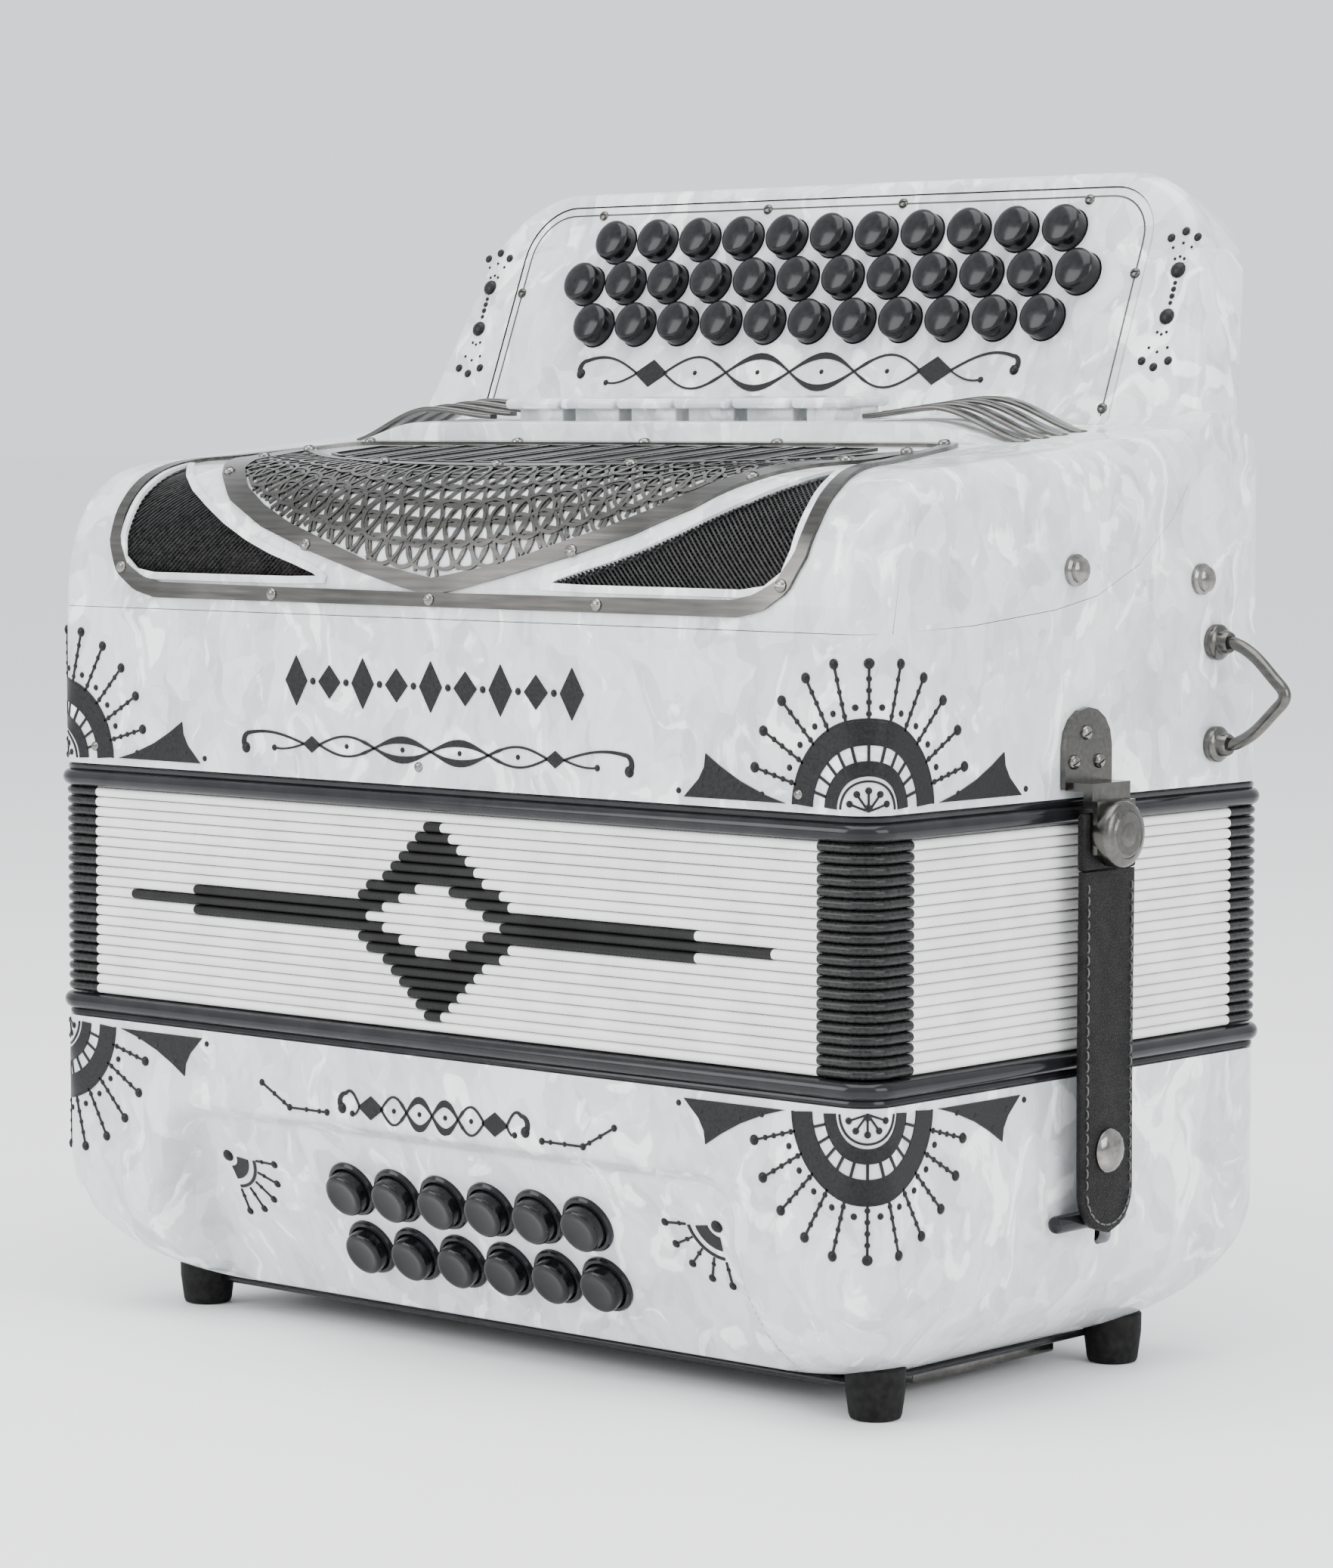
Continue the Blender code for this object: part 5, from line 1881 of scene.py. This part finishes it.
    def build_registers(self, shop: Workshop) -> None:
        """Six slanted tabs and the curved trim bars at both ends of the board.

        Args:
            shop: Workshop that finishes the pieces.
        """
        for i in range(self.tabs):
            x = (i - (self.tabs - 1) / 2) * self.tab_pitch
            half = self.tab_pitch / 2 - 0.5
            tab = soft_box((x - half, 12.0, 283.5), (x + half, 32.0, 286.7), 1.2)
            for v in tab.verts:
                v.co.z += (v.co.y - 12.0) * 0.045
            soft_box((x - half + 2, 17.0, 276.0), (x + half - 2, 29.0, 284.6), 0.6, tab)
            shop.publish(f"register_tab_{i + 1}", tab, Finish.PEARL, f"register_{i + 1}",
                         [f"register_switch_{i + 1}"], sharp=40)
        bars = bmesh.new()
        for side in (-1, 1):
            for k in range(4):
                y = 13.0 + 9.2 * k
                rings = []
                for j in range(33):
                    x = 76.0 + 60.0 * j / 32
                    base = 271.9 + 8.0 * smoothstep((141.0 - x) / 40.0) + 0.1 * (y - 5)
                    z = base + 0.5 + 2.6 * math.sin(math.pi * j / 32) ** 1.5
                    wide = 2.9 * (0.55 + 0.45 * math.sin(math.pi * j / 32) ** 0.5)
                    rings.append([Vector((side * x, y + c, z + s)) for c, s in
                                  rounded_rect(wide, 0.75, 0.5, 3)])
                loft(rings, bm=bars)
        shop.publish("board_trim_bars", bars, Finish.NICKEL, "treble", sharp=40)

    def build_ornaments(self, shop: Workshop, scatter: Scatter) -> None:
        """Rosettes on both corners, a generic row of lozenges and a flourish on the front.

        Args:
            shop: Workshop that finishes the pieces.
            scatter: Tree that sets small copies on points.
        """
        work = Inlay()
        for side in (-1, 1):
            sunburst(work, CornerWrap(side), 174.6, 1)
        front = Plane(Vector((0, -self.half_d, 0)), Vector((0, 0, 1)))
        scroll(work, front, 0.0, 183.6, 75.0, 7.0)
        for i in range(9):
            x = -56.0 + 14.0 * i
            tall = 7.5 if i % 2 == 0 else 5.0
            work.patch(front, [(x - 4.6, 202.5), (x, 202.5 - tall), (x + 4.6, 202.5), (x, 202.5 + tall)])
            if i < 8:
                work.dot(front, x + 7.0, 202.5, 1.1)
        work.publish("front_inlay", shop, scatter, "treble")
        pins = [(-146, 178.8), (-5, 178.9), (140, 178.2)]
        spots = [(front.at(u, v, 0.1), front.out(u, v), Vector((1, 0, 0.4)), 1.5) for u, v in pins]
        scatter.build("front_pins", spots, screw_form(), Finish.BRIGHT, "treble")

    def build(self, shop: Workshop, scatter: Scatter, wires: WireCloth) -> None:
        """Everything on the treble side.

        Args:
            shop: Workshop that finishes the pieces.
            scatter: Tree that sets small copies on points.
            wires: Tree that makes wire.
        """
        self.build_casing(shop)
        self.build_keyboard(shop)
        self.dress_keyboard(shop, scatter)
        self.build_cover(shop)
        self.build_grille(shop)
        self.build_window_wire(wires)
        self.build_grille_screws(scatter)
        self.build_registers(shop)
        self.build_ornaments(shop, scatter)
        shop.refinish("treble_action", Finish.WOOD)


@dataclass
class EndHardware:
    """Bellows straps, their hangers and the shoulder bails on both ends."""

    strap_y: float = 3.0
    half: float = 12.5
    z0: float = 49.5
    z1: float = 153.0
    x: float = 172.8
    thick: float = 1.5

    def build_strap(self, shop: Workshop, scatter: Scatter, side: int, name: str) -> None:
        """Stitched leather band with a rounded tip and a press stud.

        Args:
            shop: Workshop that finishes the pieces.
            scatter: Tree that sets small copies on points.
            side: 1 for the right end, -1 for the left.
            name: Which end, as the bodies' names say it.
        """
        rings = []
        for i in range(61):
            t = i / 60
            z = self.z0 + (self.z1 - self.z0) * t
            reach = z - self.z0
            tip = max(0.0, self.half - reach)
            wide = math.sqrt(max(0.16, self.half ** 2 - tip ** 2)) if tip else self.half
            bow = 0.25 * math.sin(math.pi * t)
            ring = []
            for k in range(20):
                a = 2 * math.pi * k / 20
                c, s = math.cos(a), math.sin(a)
                ring.append(Vector((side * (self.x - bow + self.thick * math.copysign(abs(s) ** 0.6, s)),
                                    self.strap_y + wide * math.copysign(abs(c) ** 0.3, c), z)))
            rings.append(ring)
        shop.publish(f"leather_strap_{name}", loft(rings), Finish.LEATHER, f"strap_{name}",
                     [f"bellows_strap_{name}"], sharp=60)
        root = soft_box((side * self.x - 1.4, self.strap_y - self.half, self.z1 + 0.2),
                        (side * self.x + 1.4, self.strap_y + self.half, 169.5), 1.0)
        shop.publish(f"leather_strap_root_{name}", root, Finish.LEATHER, "treble", sharp=60)
        out = Vector((side, 0, 0))
        spots = []
        for y in (-1, 1):
            for i in range(26):
                z = 64.0 + 84.2 * i / 25
                spots.append((Vector((side * (self.x + self.thick - 0.2), self.strap_y + y * 10.2, z)), out,
                              Vector((0, 0, 1)), 1.0))
        for i in range(11):
            a = math.radians(192 + 156 * i / 10)
            spot = Vector((side * (self.x + self.thick - 0.2), self.strap_y + 10.2 * math.cos(a),
                           62.0 + 10.2 * math.sin(a)))
            spots.append((spot, out, Vector((0, -math.sin(a), math.cos(a))), 1.0))
        scatter.build(f"strap_stitches_{name}", spots, stitch_form(), Finish.THREAD, f"strap_{name}")
        stud = turned((side * (self.x + 1.0), self.strap_y, 73.0), out,
                      [(6.2, 0), (6.4, 0.9), (5.6, 1.9), (3.6, 2.7), (0, 3.0)], 32)
        shop.publish(f"strap_stud_{name}", stud, Finish.BRIGHT, f"strap_{name}", sharp=50)

    def build_knob(self, shop: Workshop, side: int, name: str) -> None:
        """Turned cap on the hanger's knob, with a grooved face and a middle stud.

        Args:
            shop: Workshop that finishes the pieces.
            side: 1 for the right end, -1 for the left.
            name: Which end, as the bodies' names say it.
        """
        profile = [(8.6, 0), (9.4, 0.8), (9.6, 2.4), (9.6, 4.6), (9.2, 5.6), (8.2, 6.3), (6.9, 6.6),
                   (6.5, 6.1), (4.6, 6.1), (4.2, 6.6), (3.4, 6.8), (0, 6.9)]
        cap = turned((side * 174.4, self.strap_y - 1.0, 163.5), (side, 0, 0), profile, 48)
        shop.publish(f"hanger_knob_{name}", cap, Finish.NICKEL, "treble", sharp=35)

    def build_bail(self, shop: Workshop, side: int, name: str) -> None:
        """Bent wire loop between two turned flanges.

        Args:
            shop: Workshop that finishes the pieces.
            side: 1 for the right end, -1 for the left.
            name: Which end, as the bodies' names say it.
        """
        y, low, high = 65.5, 185.3, 215.2
        mid = (low + high) / 2
        arm = [(165.5, low), (171.0, low), (175.5, low + 1.4), (180.5, low + 4.6), (186.0, mid - 5.2),
               (189.3, mid - 2.0)]
        path = arm + [(190.1, mid)] + [(x, 2 * mid - z) for x, z in reversed(arm)]
        loop = tube(smooth_line([(side * x, y, z) for x, z in path], 5), 1.9, 20)
        flange = [(5.0, 0), (5.3, 0.6), (5.3, 2.4), (4.8, 3.0), (3.7, 3.4), (3.3, 5.6), (2.9, 6.2), (0, 6.2)]
        for z in (low, high):
            turned((side * 164.9, y, z), (side, 0, 0), flange, 32, loop)
        shop.publish(f"bail_loop_{name}", loop, Finish.NICKEL, "treble", [f"shoulder_bail_{name}"], sharp=40)

    def build_screws(self, shop: Workshop, scatter: Scatter) -> None:
        """Screws of the hangers, and the thumb screw and lock stud of the cover.

        Args:
            shop: Workshop that finishes the pieces.
            scatter: Tree that sets small copies on points.
        """
        spots = []
        for side in (-1, 1):
            for y, z in ((0.7, 191.8), (-5.0, 183.7), (6.8, 183.5)):
                spots.append((Vector((side * 167.1, y, z)), Vector((side, 0, 0)), Vector((0, 1, 0.5)), 2.1))
        scatter.build("hanger_screws", spots, screw_form(), Finish.BRIGHT, "treble")
        knobs = bmesh.new()
        knob = [(4.6, 0), (4.6, 1.4), (3.6, 1.9), (3.6, 3.2), (2.6, 3.9), (0, 4.1)]
        for side in (-1, 1):
            for y, z in ((-2.8, 237.8), (58.5, 233.8)):
                turned((side * 164.8, y, z), (side, 0, 0), knob, 28, knobs)
        shop.publish("cover_thumb_screws", knobs, Finish.BRIGHT, "treble", sharp=40)

    def build(self, shop: Workshop, scatter: Scatter) -> None:
        """Everything on both ends."""
        for side, name in ((1, "right"), (-1, "left")):
            self.build_strap(shop, scatter, side, name)
            shop.refinish(f"strap_hanger_{name}", Finish.NICKEL)
            self.build_knob(shop, side, name)
            self.build_bail(shop, side, name)
        self.build_screws(shop, scatter)


# --------------------------------------------------------------------------------------------- studio
@dataclass
class Studio:
    """Pale floor, soft lights and the camera."""

    eye: tuple[float, float, float] = (0.9834, -1.1094, 0.2791)
    ahead: tuple[float, float, float] = (-0.6619, 0.7458, -0.0745)
    lens: float = 110.85

    def build(self) -> None:
        """Sets the stage around the instrument."""
        self.build_floor()
        self.build_lights()
        self.build_camera()

    def build_floor(self) -> None:
        """Large pale flat floor."""
        mesh = bpy.data.meshes.new("floor")
        bm = bmesh.new()
        bmesh.ops.create_grid(bm, x_segments=2, y_segments=2, size=30.0)
        bm.to_mesh(mesh)
        bm.free()
        floor = bpy.data.objects.new("floor", mesh)
        bpy.context.scene.collection.objects.link(floor)
        shader = Shader("pale_floor", Roughness=0.6)
        tone = shader.ramp(shader.noise(3.0), (0.3, (0.94, 0.94, 0.94)), (0.8, (0.96, 0.96, 0.96)))
        shader.feed("Base Color", tone)
        mesh.materials.append(shader.material)

    def build_lights(self) -> None:
        """Soft boxes overhead, to the front and to the side, in a pale room."""
        for name, place, size, power in (("overhead", (0.2, -0.3, 1.9), 1.8, 46.0),
                                         ("front_box", (-0.9, -1.9, 1.0), 1.3, 32.0),
                                         ("side_box", (2.0, -0.1, 0.9), 1.1, 22.0)):
            data = bpy.data.lights.new(name, "AREA")
            data.energy, data.size = power, size
            lamp = bpy.data.objects.new(name, data)
            lamp.location = place
            lamp.rotation_euler = (Vector((0, 0, 0.18)) - Vector(place)).to_track_quat("-Z", "Y").to_euler()
            bpy.context.scene.collection.objects.link(lamp)
        world = bpy.data.worlds.new("pale_room")
        world.use_nodes = True
        sky = world.node_tree.nodes["Background"].inputs
        sky["Color"].default_value, sky["Strength"].default_value = (0.94, 0.96, 1.0, 1.0), 1.4
        bpy.context.scene.world = world

    def build_camera(self) -> None:
        """Camera at the front right corner, a little above the middle."""
        data = bpy.data.cameras.new("view")
        data.lens, data.sensor_fit, data.sensor_height = self.lens, "VERTICAL", 36.0
        data.clip_start, data.clip_end = 0.01, 100.0
        camera = bpy.data.objects.new("view", data)
        camera.location = self.eye
        camera.rotation_euler = Vector(self.ahead).to_track_quat("-Z", "Y").to_euler()
        bpy.context.scene.collection.objects.link(camera)
        bpy.context.scene.camera = camera


def main() -> None:
    """Builds the instrument and its studio."""
    logging.basicConfig(level=logging.INFO, format="%(name)s: %(message)s")
    shop = Workshop()
    scatter, wires = Scatter(shop), WireCloth(shop)
    BassSide().build(shop, scatter)
    BellowsFrame("lower_frame", "bass_bellows_frame", "bass", 93.6, False).build(shop)
    Bellows().build(shop)
    BellowsFrame("upper_frame", "treble_bellows_frame", "treble", 165.7, True).build(shop)
    TrebleSide().build(shop, scatter, wires)
    EndHardware().build(shop, scatter)
    Studio().build()
    LOG.info("%d pieces", shop.count)


if __name__ == "__main__":
    main()
